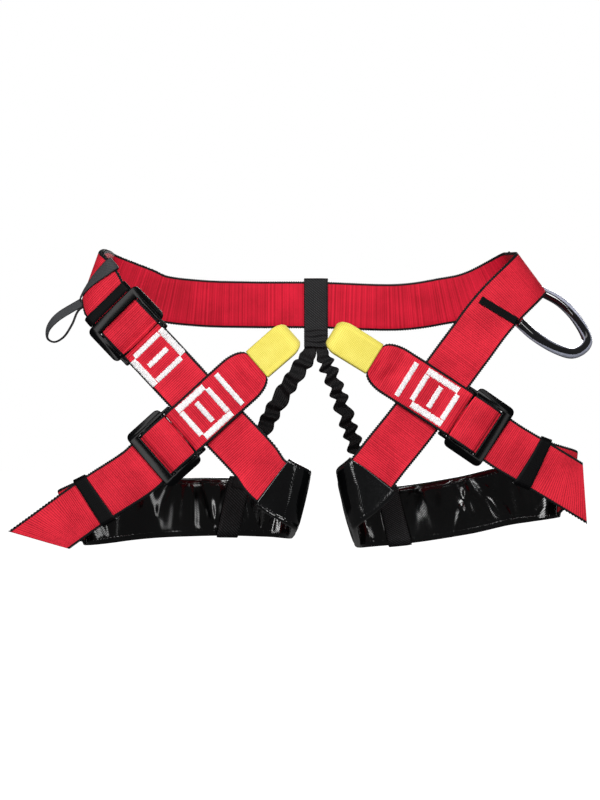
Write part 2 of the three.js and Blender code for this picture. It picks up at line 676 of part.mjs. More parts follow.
// The buckle's frame: outer bar, wide centre bar and a narrower end with the bar of the fixed strap
function buckleFrame(name) {
  const b = BUCKLE;
  const outline = new THREE.Shape();
  outline.moveTo(b.corner, -b.halfWidth);
  outline.lineTo(b.shoulder - b.corner, -b.halfWidth);
  outline.quadraticCurveTo(b.shoulder, -b.halfWidth, b.shoulder, -b.neckHalf);
  outline.lineTo(b.length - b.endCorner, -b.neckHalf);
  outline.quadraticCurveTo(b.length, -b.neckHalf, b.length, -b.neckHalf + b.endCorner);
  outline.lineTo(b.length, b.neckHalf - b.endCorner);
  outline.quadraticCurveTo(b.length, b.neckHalf, b.length - b.endCorner, b.neckHalf);
  outline.lineTo(b.shoulder, b.neckHalf);
  outline.quadraticCurveTo(b.shoulder, b.halfWidth, b.shoulder - b.corner, b.halfWidth);
  outline.lineTo(b.corner, b.halfWidth);
  outline.quadraticCurveTo(0, b.halfWidth, 0, b.halfWidth - b.corner);
  outline.lineTo(0, -b.halfWidth + b.corner);
  outline.quadraticCurveTo(0, -b.halfWidth, b.corner, -b.halfWidth);
  const slots = [
    { from: b.outerBar, to: b.centreStart, half: b.outerSlotHalf },
    { from: b.centreEnd, to: b.endBar, half: b.innerSlotHalf },
  ];
  for (const { from, to, half } of slots) {
    const slot = new THREE.Path();
    slot.moveTo(from, -half);
    slot.lineTo(from, half);
    slot.lineTo(to, half);
    slot.lineTo(to, -half);
    outline.holes.push(slot);
  }
  const plate = { depth: b.thick, bevelEnabled: false, curveSegments: b.cornerSteps };
  const geometry = new THREE.ExtrudeGeometry(outline, plate);
  const { angle, drop } = ADJUSTERS[name];
  const heading = THREE.MathUtils.degToRad(angle);
  const position = geometry.getAttribute('position');
  for (let i = 0; i < position.count; i += 1) {
    const at = adjusterPoint(name, position.getX(i));
    const across = position.getY(i);
    const lift = drop + FRAME_LIFT - b.thick / 2 + position.getZ(i);
    const x = at.x + across * Math.sin(heading);
    const placed = roundToBody(x, -HALF_DEPTH - lift, at.y - across * Math.cos(heading));
    position.setXYZ(i, placed.x, placed.y, placed.z);
  }
  return geometry;
}

// Black strap over the middle of the belt, open below for the elastics
function backStrap() {
  const { width, thick, bottom, shorter, rows } = BACK_STRAP;
  const inner = -GAP - thick / 2;
  const outer = WEB_THICK + GAP + thick / 2;
  const topEdge = WEB_WIDTH / 2 + GAP;
  const line = { place: (s, across, lift) => roundToBody(across, HALF_DEPTH + lift, s) };
  const list = [bottom, ...rows].map((s) => ({ s, lift: inner }));
  const middle = (inner + outer) / 2;
  list.push(...arcStations(topEdge, middle, (outer - inner) / 2, -90, 90, ARC_STEPS));
  const behind = [bottom + shorter, ...rows].reverse();
  list.push(...behind.map((s) => ({ s, lift: outer })));
  return webStrip(line, list, { width: constant(width), thick, strips: 1 });
}

// Gathered elastic: waves in and out, ruffled edges, flat at the top where it is sewn in
function elasticRiser(rows) {
  const knots = rows.map((row) => new THREE.Vector3(row.x, row.z, 0));
  const curve = new THREE.CatmullRomCurve3(knots, false, 'centripetal');
  const length = curve.getLength();
  const line = {
    place: (s, across, lift) => {
      const u = THREE.MathUtils.clamp(s / length, 0, 1);
      const point = curve.getPointAt(u);
      const heading = curve.getTangentAt(u);
      return roundToBody(point.x - across * heading.y, HALF_DEPTH + lift, point.y + across * heading.x);
    },
  };
  const list = [];
  for (let i = 0; i <= RISER.steps; i += 1) {
    const s = length * i / RISER.steps;
    const below = smooth(s, length - RISER.waveTo, length - RISER.flatEnd);
    const fade = smooth(s, RISER.flatTop, RISER.waveFrom) * (1 - below);
    const sink = smooth(s, RISER.liftFrom, length - RISER.liftTo);
    const base = THREE.MathUtils.lerp(RISER.topLift, RISER.bottomLift, sink);
    list.push({ s, lift: base + fade * RISER.wave * Math.sin(2 * Math.PI * s / RISER.pitch) });
  }
  const width = (station) => {
    const fade = smooth(station.s, RISER.flatTop, RISER.wideFrom);
    const full = THREE.MathUtils.lerp(RISER.top, RISER.width, fade);
    return full + fade * RISER.ruffle * Math.sin(4 * Math.PI * station.s / RISER.pitch);
  };
  return webStrip(line, list, { width, thick: RISER.thick, strips: 1 });
}

// Tube of the gear loop: from the tape on the front, out and round to the tape at the side
function gearLoop() {
  const knots = GEAR_LOOP_ROWS.map((row) => new THREE.Vector3(row.x, row.y, row.z));
  const path = new THREE.CatmullRomCurve3(knots, false, 'centripetal');
  const section = new THREE.Shape();
  for (let i = 0; i < GEAR_LOOP.sides; i += 1) {
    const angle = 2 * Math.PI * i / GEAR_LOOP.sides;
    const x = GEAR_LOOP.diameter / 2 * Math.cos(angle);
    const y = GEAR_LOOP.diameter / 2 * Math.sin(angle);
    if (i === 0) section.moveTo(x, y);
    else section.lineTo(x, y);
  }
  const sweep = { steps: GEAR_LOOP.steps, bevelEnabled: false, extrudePath: path };
  return new THREE.ExtrudeGeometry(section, sweep);
}

function gearTapeFront() {
  const line = strapLine(GEAR_TAPE_ROWS, []);
  const lift = WEB_THICK + GAP + GEAR_TAPE.thick / 2;
  const list = stations(line, 0, line.length, constant(lift));
  return webStrip(line, list, { width: constant(GEAR_TAPE.width), thick: GEAR_TAPE.thick, strips: 1 });
}

function gearTapeRear() {
  const middle = waistLine.near({ on: 'back', x: 154, z: 11 });
  const seat = middle - TURNS.hip_right.length * GEAR_TAPE.rearShare;
  const line = {
    turning: constant(true),
    place: (s, across, lift) => waistLine.place(seat + across, s, lift),
  };
  const lift = WEB_THICK + GAP + GEAR_TAPE.thick / 2;
  const reach = WEB_WIDTH / 2;
  const list = stations(line, -reach, reach, constant(lift));
  return webStrip(line, list, { width: constant(GEAR_TAPE.width), thick: GEAR_TAPE.thick, strips: 1 });
}

// Thin webbing round the belt at the left hip, with its loop hanging outside
function accessoryLoop() {
  const { width, thick, behind, lean, slack, cuts, steps } = ACCESSORY;
  const lift = HIP_DROP + (LOAD_LIFT + TAIL_LIFT) / 2;
  const seat = waistLine.length - behind;
  const list = KEEPER.rows.map((side) => ({ s: seat + side * width, lift, slant: lean }));
  const innerThick = WEB_THICK + LAYER + 2 * slack;
  const inner = WEB_WIDTH + 2 * slack;
  const band = webSleeve(waistLine, list, {
    width: constant(inner + 2 * thick), inner: constant(inner), innerThick,
    outerThick: innerThick + 2 * thick, cuts,
  });
  const edge = (inner + thick) / 2;
  const start = waistLine.place(seat + lean * edge, edge, lift);
  const knots = ACCESSORY_ROWS.map((row) => new THREE.Vector3(row.out, row.back, row.up).add(start));
  const curve = new THREE.CatmullRomCurve3(knots, false, 'centripetal');
  const strip = new THREE.BoxGeometry(1, 1, 1, steps, 1, 1);
  const position = strip.getAttribute('position');
  for (let i = 0; i < position.count; i += 1) {
    const u = position.getX(i) + 0.5;
    const heading = curve.getTangentAt(u);
    const turned = ACCESSORY.twist * smooth(u, ACCESSORY.twistFrom, ACCESSORY.twistTo);
    const twist = THREE.MathUtils.degToRad(turned);
    const level = new THREE.Vector3(0, 1, 0).cross(heading).normalize();
    const deep = heading.clone().cross(level);
    const across = level.clone().multiplyScalar(Math.cos(twist)).addScaledVector(deep, Math.sin(twist));
    const square = across.clone().cross(heading);
    const at = curve.getPointAt(u).addScaledVector(across, position.getZ(i) * width);
    at.addScaledVector(square, position.getY(i) * thick);
    position.setXYZ(i, at.x, at.y, at.z);
  }
  return joined(band, strip);
}

function solidOf(geometry) {
  const mesh = closedMesh('solid', geometry, 'webbing_black').geometry;
  return new kernel.Manifold(new kernel.Mesh({
    numProp: 3,
    vertProperties: new Float32Array(mesh.getAttribute('position').array),
    triVerts: new Uint32Array(mesh.index.array),
  }));
}

function joined(first, second) {
  const mesh = solidOf(first).add(solidOf(second)).getMesh();
  const geometry = new THREE.BufferGeometry();
  geometry.setAttribute('position', new THREE.BufferAttribute(new Float32Array(mesh.vertProperties), 3));
  geometry.setIndex(new THREE.BufferAttribute(new Uint32Array(mesh.triVerts), 1));
  return geometry;
}

const parts = new THREE.Group();
parts.name = 'caving_harness';
const add = (name, slot, geometry) => parts.add(closedMesh(name, geometry, slot));

add('waist_belt', 'webbing_red', waistBelt());
add('cross_strap_left', 'webbing_red', crossStrapLeft());
add('tie_in_strap_left', 'webbing_red', tieInStrap('leg_left'));
add('tie_in_strap_right', 'webbing_red', tieInStrap('leg_right'));
add('leg_strap_left', 'webbing_red', legStrap('leg_left'));
add('leg_strap_right', 'webbing_red', legStrap('leg_right'));
add('eye_sleeve_left', 'sleeve_yellow', eyeSleeve('leg_left'));
add('eye_sleeve_right', 'sleeve_yellow', eyeSleeve('leg_right'));
add('leg_pad_left', 'pad_black', legPad('leg_pad_left'));
add('leg_pad_right', 'pad_black', legPad('leg_pad_right'));
add('pad_loop_left', 'webbing_black', padLoop('pad_loop_left'));
add('pad_loop_right', 'webbing_black', padLoop('pad_loop_right'));
add('keeper_hip', 'webbing_black', keeper('keeper_hip'));
add('keeper_leg_left', 'webbing_black', keeper('keeper_leg_left'));
add('keeper_leg_right', 'webbing_black', keeper('keeper_leg_right'));
add('buckle_hip', 'steel_black', buckleFrame('hip'));
add('buckle_leg_left', 'steel_black', buckleFrame('leg_left'));
add('buckle_leg_right', 'steel_black', buckleFrame('leg_right'));
add('back_strap', 'webbing_black', backStrap());
add('elastic_riser_left', 'elastic_black', elasticRiser(RISER_LEFT_ROWS));
add('elastic_riser_right', 'elastic_black', elasticRiser(RISER_RIGHT_ROWS));
add('gear_loop', 'tube_black', gearLoop());
add('gear_loop_tape_front', 'webbing_black', gearTapeFront());
add('gear_loop_tape_rear', 'webbing_black', gearTapeRear());
add('accessory_loop', 'tape_grey', accessoryLoop());

export default parts;
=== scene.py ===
import math
import random
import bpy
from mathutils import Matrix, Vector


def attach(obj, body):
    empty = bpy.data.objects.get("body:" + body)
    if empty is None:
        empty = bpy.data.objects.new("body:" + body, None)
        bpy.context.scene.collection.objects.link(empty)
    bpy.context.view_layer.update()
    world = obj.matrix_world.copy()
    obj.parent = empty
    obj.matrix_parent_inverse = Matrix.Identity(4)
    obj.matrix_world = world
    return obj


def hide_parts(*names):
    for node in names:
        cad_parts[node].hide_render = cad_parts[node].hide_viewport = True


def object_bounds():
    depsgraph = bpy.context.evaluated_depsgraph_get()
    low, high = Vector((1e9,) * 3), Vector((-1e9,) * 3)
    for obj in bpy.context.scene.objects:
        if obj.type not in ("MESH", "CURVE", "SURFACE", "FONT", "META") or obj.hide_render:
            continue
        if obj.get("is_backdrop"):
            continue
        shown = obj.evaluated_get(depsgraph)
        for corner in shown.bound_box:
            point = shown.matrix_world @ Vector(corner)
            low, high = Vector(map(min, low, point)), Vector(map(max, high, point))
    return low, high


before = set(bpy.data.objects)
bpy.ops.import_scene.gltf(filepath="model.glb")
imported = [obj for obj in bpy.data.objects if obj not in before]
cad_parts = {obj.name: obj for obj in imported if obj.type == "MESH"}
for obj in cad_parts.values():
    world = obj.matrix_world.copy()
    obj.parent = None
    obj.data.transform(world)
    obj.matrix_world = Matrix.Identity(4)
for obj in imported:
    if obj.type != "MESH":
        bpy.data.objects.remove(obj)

from types import SimpleNamespace as Sizes

import bpy
import numpy as np
from mathutils import Vector

solid_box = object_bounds()

# Sizes and places are in millimetres; new_piece turns them into metres
MM = 0.001

# Webbing, and how finely it is drawn
WEB_WIDTH = 45
WEB_THICK = 2
GAP = 0.3
LAYER = WEB_THICK + GAP
PICOT = 0.38
FINE_PICOT = 0.1
PICOT_SHARE = 0.3
FINE = 1.1
LEAST_STEP = 0.05
TURN_STEPS = 28
BEND_STEPS = 12
ARCH_STEPS = 18
CURVE_STEPS = 160
RIB_REACH = 35
RIB_SAMPLES = 15

# Points of a section's flat faces and round edges
RING_POINTS = (22, 9)
TAPE_POINTS = (6, 4)
PAD_POINTS = (26, 6)

# Hollow form
HALF_DEPTH = 75
FRONT_SLOPE = 0.17
FRONT_RADIUS = 30
BACK_SLOPE = 0.25
BACK_RADIUS = 120

# Adjuster buckle, from the outer edge of the outer bar
BUCKLE = Sizes(
    half=30.5, neck=25.6, length=47.5, shoulder=39, corner=6, end_corner=2, notch=0.4, slot_corner=1,
    thick=3, bevel=0.9, bevel_steps=3, camber=0.5, outer_slot=22.8, inner_slot=22.8, outer_bar=9.6,
    centre_start=14.8, centre_end=35.5, end_bar=43.2, bar_edge=1, turn=35.6, over_start=15.1,
    down_at=12.9, under_start=10.7, tail_start=7.7, bulge=1.7, fold_inset=0.25, fold_lead=5, dip=2,
    dip_run=0.35, over_clear=0.6,
)
WELD = 0.00001
LOAD_LIFT = WEB_THICK / 2
TAIL_LIFT = LOAD_LIFT + LAYER
FRAME_LIFT = TAIL_LIFT + LAYER + (BUCKLE.thick - WEB_THICK) / 2
OVER_LIFT = FRAME_LIFT + BUCKLE.thick / 2 + GAP + WEB_THICK / 2
HIP_DROP = -2 * LAYER
SETTLE = 12
HIP_SETTLE = 60
FLAP = 48

# Place of each adjuster's outer bar on the front and its heading towards the fixed strap
ADJUSTERS = {
    "hip": Sizes(x=-183, z=-10, angle=-46, drop=HIP_DROP),
    "leg_left": Sizes(x=-149.8, z=-147.2, angle=41.5, drop=0),
    "leg_right": Sizes(x=158.5, z=-126.5, angle=146, drop=0),
}

# Turns of the webbing from front to back: point on the outline, tilt, side, radius
TURNS = {
    "hip_left": dict(x=-191.7, z=50.7, tilt=70, side=-1, radius=16),
    "hip_right": dict(x=181, z=37.3, tilt=127, side=1, radius=34),
    "crotch_left": dict(x=-10.2, z=-160, tilt=76, side=1, radius=20),
    "crotch_right": dict(x=27.5, z=-180, tilt=105, side=-1, radius=20),
    "outer_left": dict(x=-232, z=-172.4, tilt=107, side=-1, radius=20),
    "outer_right": dict(x=231.5, z=-150, tilt=84, side=1, radius=20),
}


def on(sheet, *places):
    """Rows of a centre line on one sheet: front, back, or the front of a turn.

    A place is x and z, or an adjuster and the distance ahead of it.
    """
    return [(sheet, *place) for place in places]


WAIST_BACK = (154, 11)
WAIST_ROWS = (
    on("hip_right", (46.3, -157.6), (58.3, -141.9), (82.5, -112), (131.9, -45.7), (162, -7.5))
    + on("back", WAIST_BACK, (118.5, 2.5), (80.6, -2.4), (0, 0), (-63.5, 0), (-111, 1), (-148.8, 5.5))
    + on("back", (-168, 13.5)) + on("hip_left", (-203.5, 18.5), ("hip", -8), ("hip", 0))
)
HIP_ROWS = on("hip_left", ("hip", -30), ("hip", -15), ("hip", 0))
LEG_ROWS = {
    "leg_left": on("crotch_left", ("hip", 0), ("hip", 45), (-98, -99.5), (-56, -143.5), (-40, -163))
    + on("back", (-45, -195.5), (-111, -194), (-190, -198.5))
    + on("outer_left", (-198.6, -181), ("leg_left", -12), ("leg_left", 0)),
    "leg_right": on("crotch_right", (82.5, -112), (58.3, -141.9), (42, -163.8))
    + on("back", (62, -204), (137.3, -192.8), (195, -180))
    + on("outer_right", (193, -147.5), ("leg_right", -12), ("leg_right", 0)),
}
TIE_ROWS = {
    "leg_left": on("front", ("leg_left", 0), ("leg_left", 45), (-70.3, -76), (-21.5, -33.7)),
    "leg_right": on("front", ("leg_right", 0), ("leg_right", 45), (74.1, -71.2), (12, -33)),
}
TAIL_ROWS = {
    "leg_left": on("front", (-249, -217), (-198.6, -181), ("leg_left", -12), ("leg_left", 0)),
    "leg_right": on("front", (239.3, -175.2), (193, -147.5), ("leg_right", -12), ("leg_right", 0)),
}
TAIL_EASE = (13, 30)
SLANT_RUN = 38
TAILS = {
    "hip": Sizes(length=215, slant=0.5, ease=0.8),
    "leg_left": Sizes(length=121, slant=0.82, ease=0),
    "leg_right": Sizes(length=94, slant=0.71, ease=0),
}
EYE = Sizes(
    width=25, tip=16, narrow=3, radius=7, seam=96, spread_from=94, taper_from=108, taper_to=129.7,
    sleeve_from=130, arc=80, roundest=0.99,
)
# Soft dents of a tie-in strap's upper layer by the eye: distance along, sideways middle, lean, width, height
EYE_DENTS = [
    (108, 8, 0.5, 4.5, -1), (114, -9, -0.7, 5, -1.7), (120, 2, 0.2, 4, 1.3), (124, -5, -0.4, 3.5, -1.2),
]
DENTED = Sizes(start=100, full=106, fade=123, end=129, reach=12)
SLEEVE = Sizes(width=30, wall=1.2, slack=0.35)
PAD = Sizes(
    mouth=51, back=56, wall=1.2, slack=0.9, overlap=10, mouth_fade=60, end_fade=40, hem=5, hem_deep=0.5,
    hem_wide=0.7, pinch=0.4, seam=22.6, stitch=3.6, step=1.2, room=1.5, swell=0.5, crest=1.6,
    calm_share=6, calm_end=18, flat_half=27, flat_power=8,
)
PADS = {
    "left": Sizes(mouth=("crotch_left", -41, -164), end=("back", -233, -201), calm=70, seed=11),
    "right": Sizes(mouth=("crotch_right", 48.5, -156), end=("back", 232, -172), calm=58, seed=23),
}
# Creases of the pads: long ones across at uneven steps, and short slanted ones anywhere
LONG_CREASE = Sizes(
    lead=20, rest=12, shift=4, step=(7, 13), lean=0.22, wide=(3, 6.5), tall=(1.2, 3), middle=14,
    reach=(14, 34),
)
SHORT_CREASE = Sizes(count=40, lean=0.5, wide=(1.6, 3), tall=(0.3, 0.9), middle=26, reach=(6, 14))
PAD_LOOP = Sizes(width=21, wall=1.5, cloth=1.4)
PAD_LOOPS = {"left": Sizes(x=-79, z=-194.5, lean=0.2), "right": Sizes(x=74, z=-203, lean=-0.12)}
KEEPER_WALL = 1.2
KEEPERS = {
    "keeper_hip": Sizes(adjuster="hip", behind=5.2, length=9, lean=0, slack=1.7),
    "keeper_leg_left": Sizes(adjuster="leg_left", behind=59, length=13, lean=0.12, slack=1),
    "keeper_leg_right": Sizes(adjuster="leg_right", behind=40, length=13, lean=-0.1, slack=1.2),
}
BACK_STRAP = Sizes(
    width=23, thick=1.8, bottom=-41, shorter=2.4, picot=0.12, gathered=24, gathered_share=0.6, gather=1.9,
    pitch=5.4, sway=0.9, sway_across=3.5, sway_along=4, edge=0.5,
)
RISER = Sizes(
    top=9.8, thick=1.6, top_lift=1, bottom_lift=-6.8, lift_from=10, lift_rest=20, wide_to=19.5, step=0.8,
    drift=0.8, drift_run=13, flutter=0.5, flutter_run=5.3, fade_in=(8, 26), fade_out=(24, 12), uneven=0.25,
    uneven_run=7.1, puff=0.8, ripple=0.4, ripple_rate=2.4, ripple_apart=1.3, past_edge=1.2, lean_run=9,
)
RISERS = {
    "left": Sizes(width=15, pitch=14.5, flare=1.1, sway=0.5, wave=1.8, stagger=0.6, lean=0.14),
    "right": Sizes(width=12.5, pitch=13.4, flare=1.6, sway=1.5, wave=1.8, stagger=0.9, lean=0.16),
}
RISER_ROWS = {
    "left": [(-5, -34), (-6.3, -46), (-18.3, -65), (-33.7, -89), (-52, -122.4), (-66, -150), (-74, -176)],
    "right": [(5, -34), (6.3, -46), (16.4, -72), (24.1, -93.5), (32, -118.6), (42, -146), (66, -184)],
}
GEAR_LOOP = Sizes(radius=4.8, rows=150, columns=32)
GEAR_LOOP_ROWS = [
    (178, -56.8, -22.8), (192, -52.5, -34.5), (213, -44, -46), (231, -30, -49.5), (246, -12, -38.5),
    (239, 2, -17.5), (225, 10, -1), (206.9, 15.2, 10),
]
GEAR_TAPE = Sizes(width=7, thick=1.2, rear_share=0.4)
GEAR_TAPE_ROWS = on("front", (143.9, -3), (176.5, -22))
ACCESSORY = Sizes(
    width=7.5, thick=1.2, behind=29.5, lean=0, slack=2, rows=120, twist=90, twist_from=0.15, twist_to=0.6,
)
ACCESSORY_ROWS = [
    (-0.53, 0, 1.81), (-24.3, -1.5, -13.4), (-31.8, -1, -23.4), (-32.2, 0, -31.3), (-26.6, 0.5, -34.4),
    (-18.6, 1, -30.5), (-10.7, 1.5, -18.9), (-5.1, 2, -6.4), (1.78, -0.7, -1.71),
]

# White stitching on each strap: boxes by their middle, half length, half width and bar, and a tack beyond
STITCHING = {
    "cross": Sizes(seed=3, middle=61, along=14.4, across=18.4, bar=11, tack=None),
    "leg_left": Sizes(seed=5, middle=68, along=15.5, across=16.8, bar=10.5, tack=(97.4, 17.2)),
    "leg_right": Sizes(seed=5, middle=67.2, along=15.8, across=16.3, bar=10.2, tack=(96.5, 16.6)),
}
THREAD = Sizes(
    radius=0.42, pitch=0.88, side=6, cross=4.8, crown=0.5, crown_power=4, rings=7, sides=6,
    reach=(0.88, 1.08), slip=0.12, step=0.55, inset=1.2, link_from=1.4, link_to=0.4,
)


def smooth(x, low, high):
    t = np.clip((np.asarray(x, float) - low) / (high - low), 0, 1)
    return t * t * (3 - 2 * t)


def mix(a, b, share):
    return a + (b - a) * share


def unit(vectors):
    return vectors / np.linalg.norm(vectors, axis=-1, keepdims=True)


def run_of(steps):
    """Distance run after each step, from nothing."""
    return np.concatenate([[0], np.cumsum(steps)])


class Turn:
    """Webbing laid round a tilted edge of the hollow, from the back to the front."""

    def __init__(self, x, z, tilt, side, radius):
        angle = math.radians(tilt)
        self.out = np.array([math.sin(angle), -math.cos(angle)]) * side
        self.axis = np.array([math.cos(angle), math.sin(angle)])
        self.start = np.array([x, z]) - self.out * radius
        self.radius = radius
        self.quarter = radius * math.pi / 2
        self.straight = 2 * (HALF_DEPTH - radius)
        self.length = 2 * self.quarter + self.straight
        self.next = None

    def to_sheet(self, point):
        offset = np.array(point, float) - self.start
        return self.start + self.out * (self.length - offset @ self.out) + self.axis * (offset @ self.axis)

    def reach(self, x, z):
        dx = x - self.start[0]
        dz = z - self.start[1]
        return dx * self.out[0] + dz * self.out[1], dx * self.axis[0] + dz * self.axis[1]

    def at(self, out, along):
        return (self.start[k] + self.out[k] * out + self.axis[k] * along for k in (0, 1))

    def place(self, reach, along, lift):
        after = self.quarter + self.straight
        level = HALF_DEPTH - self.radius
        angle = np.where(reach < self.quarter, reach / self.radius, math.pi / 2)
        angle = np.where(reach > after, math.pi / 2 + (reach - after) / self.radius, angle)
        angle = np.clip(angle, 0, math.pi)
        ends = np.where(reach < self.quarter, level, -level)
        between = np.clip(level - (reach - self.quarter), -level, None)
        y = np.where((reach >= self.quarter) & (reach < after), between, ends + self.radius * np.cos(angle))
        x, z = self.at((self.radius + lift) * np.sin(angle), along)
        turned = round_to_body(x, y + lift * np.cos(angle), z)
        x, z = self.at(self.length - reach, along)
        front = round_to_body(x, -HALF_DEPTH - lift, z)
        if self.next:
            past, beside = self.next.reach(x, z)
            carried = self.next.place(self.next.length - past, beside, lift)
            front = np.where((past > 0)[..., None], carried, front)
        return np.where((reach >= self.length)[..., None], front, turned)


def round_to_body(x, y, z):
    """Front and back fall away from the middle to the sides."""
    x, y, z = np.broadcast_arrays(np.asarray(x, float), y, z)
    front = HALF_DEPTH - FRONT_SLOPE * (np.hypot(x, FRONT_RADIUS) - FRONT_RADIUS)
    back = HALF_DEPTH - BACK_SLOPE * (np.hypot(x, BACK_RADIUS) - BACK_RADIUS)
    inside = np.clip(y, -HALF_DEPTH, HALF_DEPTH)
    share = (inside + HALF_DEPTH) / (2 * HALF_DEPTH)
    return np.stack([x, share * (front + back) - front + (y - inside), z], axis=-1)


def curve_table(knots):
    """A smooth curve through the knots: distances along it, points and headings."""
    knots = [np.array(k, float) for k in knots]
    padded = [2 * knots[0] - knots[1], *knots, 2 * knots[-1] - knots[-2]]
    t = np.linspace(0, 1, CURVE_STEPS, endpoint=False)[:, None]
    points = []
    for p0, p1, p2, p3 in zip(padded, padded[1:], padded[2:], padded[3:]):
        d0, d1, d2 = (math.sqrt(np.linalg.norm(b - a)) for a, b in ((p0, p1), (p1, p2), (p2, p3)))
        t1 = ((p1 - p0) / d0 - (p2 - p0) / (d0 + d1) + (p2 - p1) / d1) * d1
        t2 = ((p2 - p1) / d1 - (p3 - p1) / (d1 + d2) + (p3 - p2) / d2) * d1
        cubic = 2 * p1 - 2 * p2 + t1 + t2
        square = -3 * p1 + 3 * p2 - 2 * t1 - t2
        points.extend(p1 + t1 * t + square * t ** 2 + cubic * t ** 3)
    points = np.array([*points, knots[-1]])
    distance = run_of(np.linalg.norm(np.diff(points, axis=0), axis=1))
    return distance, points, unit(np.gradient(points, distance, axis=0))


def along_table(table, s):
    distance, *tracks = table
    u = np.clip(s, 0, distance[-1])
    point, tangent = (np.stack([np.interp(u, distance, k) for k in track.T], axis=-1) for track in tracks)
    return point + tangent * (s - u)[..., None], tangent


turns = {name: Turn(**row) for name, row in TURNS.items()}
turns["hip_right"].next = turns["crotch_right"]


class StrapLine:
    """A strap's centre line on the hollow form, with the turns that it passes."""

    def __init__(self, rows, *bends):
        self.bends = [turns[name] for name in bends]
        self.on_front = all(row[0] == "front" for row in rows)
        self.table = curve_table([self.to_sheet(row) for row in rows])
        self.length = self.table[0][-1]

    @staticmethod
    def to_sheet(row):
        sheet, first, second = row
        at = (first, second)
        if isinstance(first, str):
            bar = ADJUSTERS[first]
            heading = math.radians(bar.angle)
            at = (bar.x + second * math.cos(heading), bar.z + second * math.sin(heading))
        return turns[sheet].to_sheet(at) if sheet in turns else np.array(at, float)

    def skew(self, s):
        """Lean of the ribs that keeps them straight where the strap bends sideways."""
        distance, _, heading = self.table
        window = np.linspace(-RIB_REACH, RIB_REACH, RIB_SAMPLES)
        at = np.clip(np.asarray(s)[:, None] + window, 0, distance[-1])
        angle = np.interp(at, distance, np.unwrap(np.arctan2(heading[:, 1], heading[:, 0])))
        last = np.arctan2(heading[-1, 1], heading[-1, 0])
        last += 2 * math.pi * np.round((angle[:, -1] - last) / (2 * math.pi))
        settled = smooth(s, distance[-1] - 2 * RIB_REACH, distance[-1] - RIB_REACH)
        lean = np.sin(mix(angle.mean(axis=1), last, settled) - angle[:, RIB_SAMPLES // 2])
        return -lean if self.on_front else lean

    def near(self, row):
        distance, points, _ = self.table
        return distance[np.argmin(np.linalg.norm(points - self.to_sheet(row), axis=1))]

    def place(self, s, across, lift):
        s, across, lift = np.broadcast_arrays(np.asarray(s, float), across, lift)
        point, heading = along_table(self.table, s)
        if self.on_front:
            x = point[..., 0] + across * heading[..., 1]
            return round_to_body(x, -HALF_DEPTH - lift, point[..., 1] - across * heading[..., 0])
        x = point[..., 0] - across * heading[..., 1]
        z = point[..., 1] + across * heading[..., 0]
        found = round_to_body(x, HALF_DEPTH + lift, z)
        for bend in reversed(self.bends):
            reach, along = bend.reach(x, z)
            found = np.where((reach > 0)[..., None], bend.place(reach, along, lift), found)
        return found


waist_line = StrapLine(WAIST_ROWS, "hip_left", "hip_right")
hip_line = StrapLine(HIP_ROWS, "hip_left")
leg_lines = {
    "leg_" + side: StrapLine(LEG_ROWS["leg_" + side], "crotch_" + side, "outer_" + side) for side in PADS
}
tie_lines = {name: StrapLine(rows) for name, rows in TIE_ROWS.items()}
tail_lines = {name: StrapLine(rows) for name, rows in TAIL_ROWS.items()}


class Value:
    """A socket in a finish's nodes; arithmetic on it adds Math nodes."""

    def __init__(self, finish, socket):
        self.finish = finish
        self.socket = socket

    def math(self, operation, *others):
        return self.finish.node("ShaderNodeMath", {"operation": operation}, [self, *others])

    def __add__(self, other):
        return self.math("ADD", other)

    __radd__ = __add__

    def __sub__(self, other):
        return self.math("SUBTRACT", other)

    def __rsub__(self, other):
        return self.finish.node("ShaderNodeMath", {"operation": "SUBTRACT"}, [other, self])

    def __mul__(self, other):
        return self.math("MULTIPLY", other)

    def above(self, low, high):
        """0 below low, 1 above high, smooth between."""
        sockets = {"Value": self, "From Min": low, "From Max": high}
        return self.finish.node("ShaderNodeMapRange", {"interpolation_type": "SMOOTHSTEP"}, sockets)

    def wave(self, pitch):
        """Between 0 and 1, once for each pitch."""
        return (self * (2 * math.pi / pitch)).math("SINE") * 0.5 + 0.5


class Finish:
    """A procedural material."""

    def __init__(self, name, constants):
        self.material = bpy.data.materials.new(name)
        self.material.use_nodes = True
        self.tree = self.material.node_tree
        self.shader = self.tree.nodes["Principled BSDF"]
        for key, value in constants.items():
            self.shader.inputs[key].default_value = value

    def link(self, value, socket):
        if isinstance(value, Value):
            self.tree.links.new(value.socket, socket)
        else:
            socket.default_value = value

    def node(self, kind, settings=None, sockets=(), out=0):
        made = self.tree.nodes.new(kind)
        for key, value in (settings or {}).items():
            setattr(made, key, value)
        pairs = sockets.items() if isinstance(sockets, dict) else enumerate(sockets)
        for key, value in pairs:
            self.link(value, made.inputs[key])
        return Value(self, made.outputs[out])

    def cloth(self):
        """Millimetres along the cloth, across it and in from its edge; on the tube the last is its facing."""
        vector = self.node("ShaderNodeAttribute", {"attribute_name": "cloth"}, out="Vector")
        return [self.node("ShaderNodeSeparateXYZ", None, [vector], out=axis) for axis in "XYZ"]

    def noise(self, scale, detail=2):
        place = self.node("ShaderNodeTexCoord", out="Object")
        return self.node("ShaderNodeTexNoise", None, {"Vector": place, "Scale": scale, "Detail": detail})

    def blend(self, share, first, second):
        return self.node("ShaderNodeMix", {"data_type": "RGBA"}, {0: share, 6: first, 7: second}, out=2)

    def bump(self, height, strength, depth):
        sockets = {"Strength": strength, "Distance": depth * MM, "Height": height}
        self.link(self.node("ShaderNodeBump", None, sockets), self.shader.inputs["Normal"])

    def set(self, **values):
        for key, value in values.items():
            self.link(value, self.shader.inputs[key.replace("_", " ")])


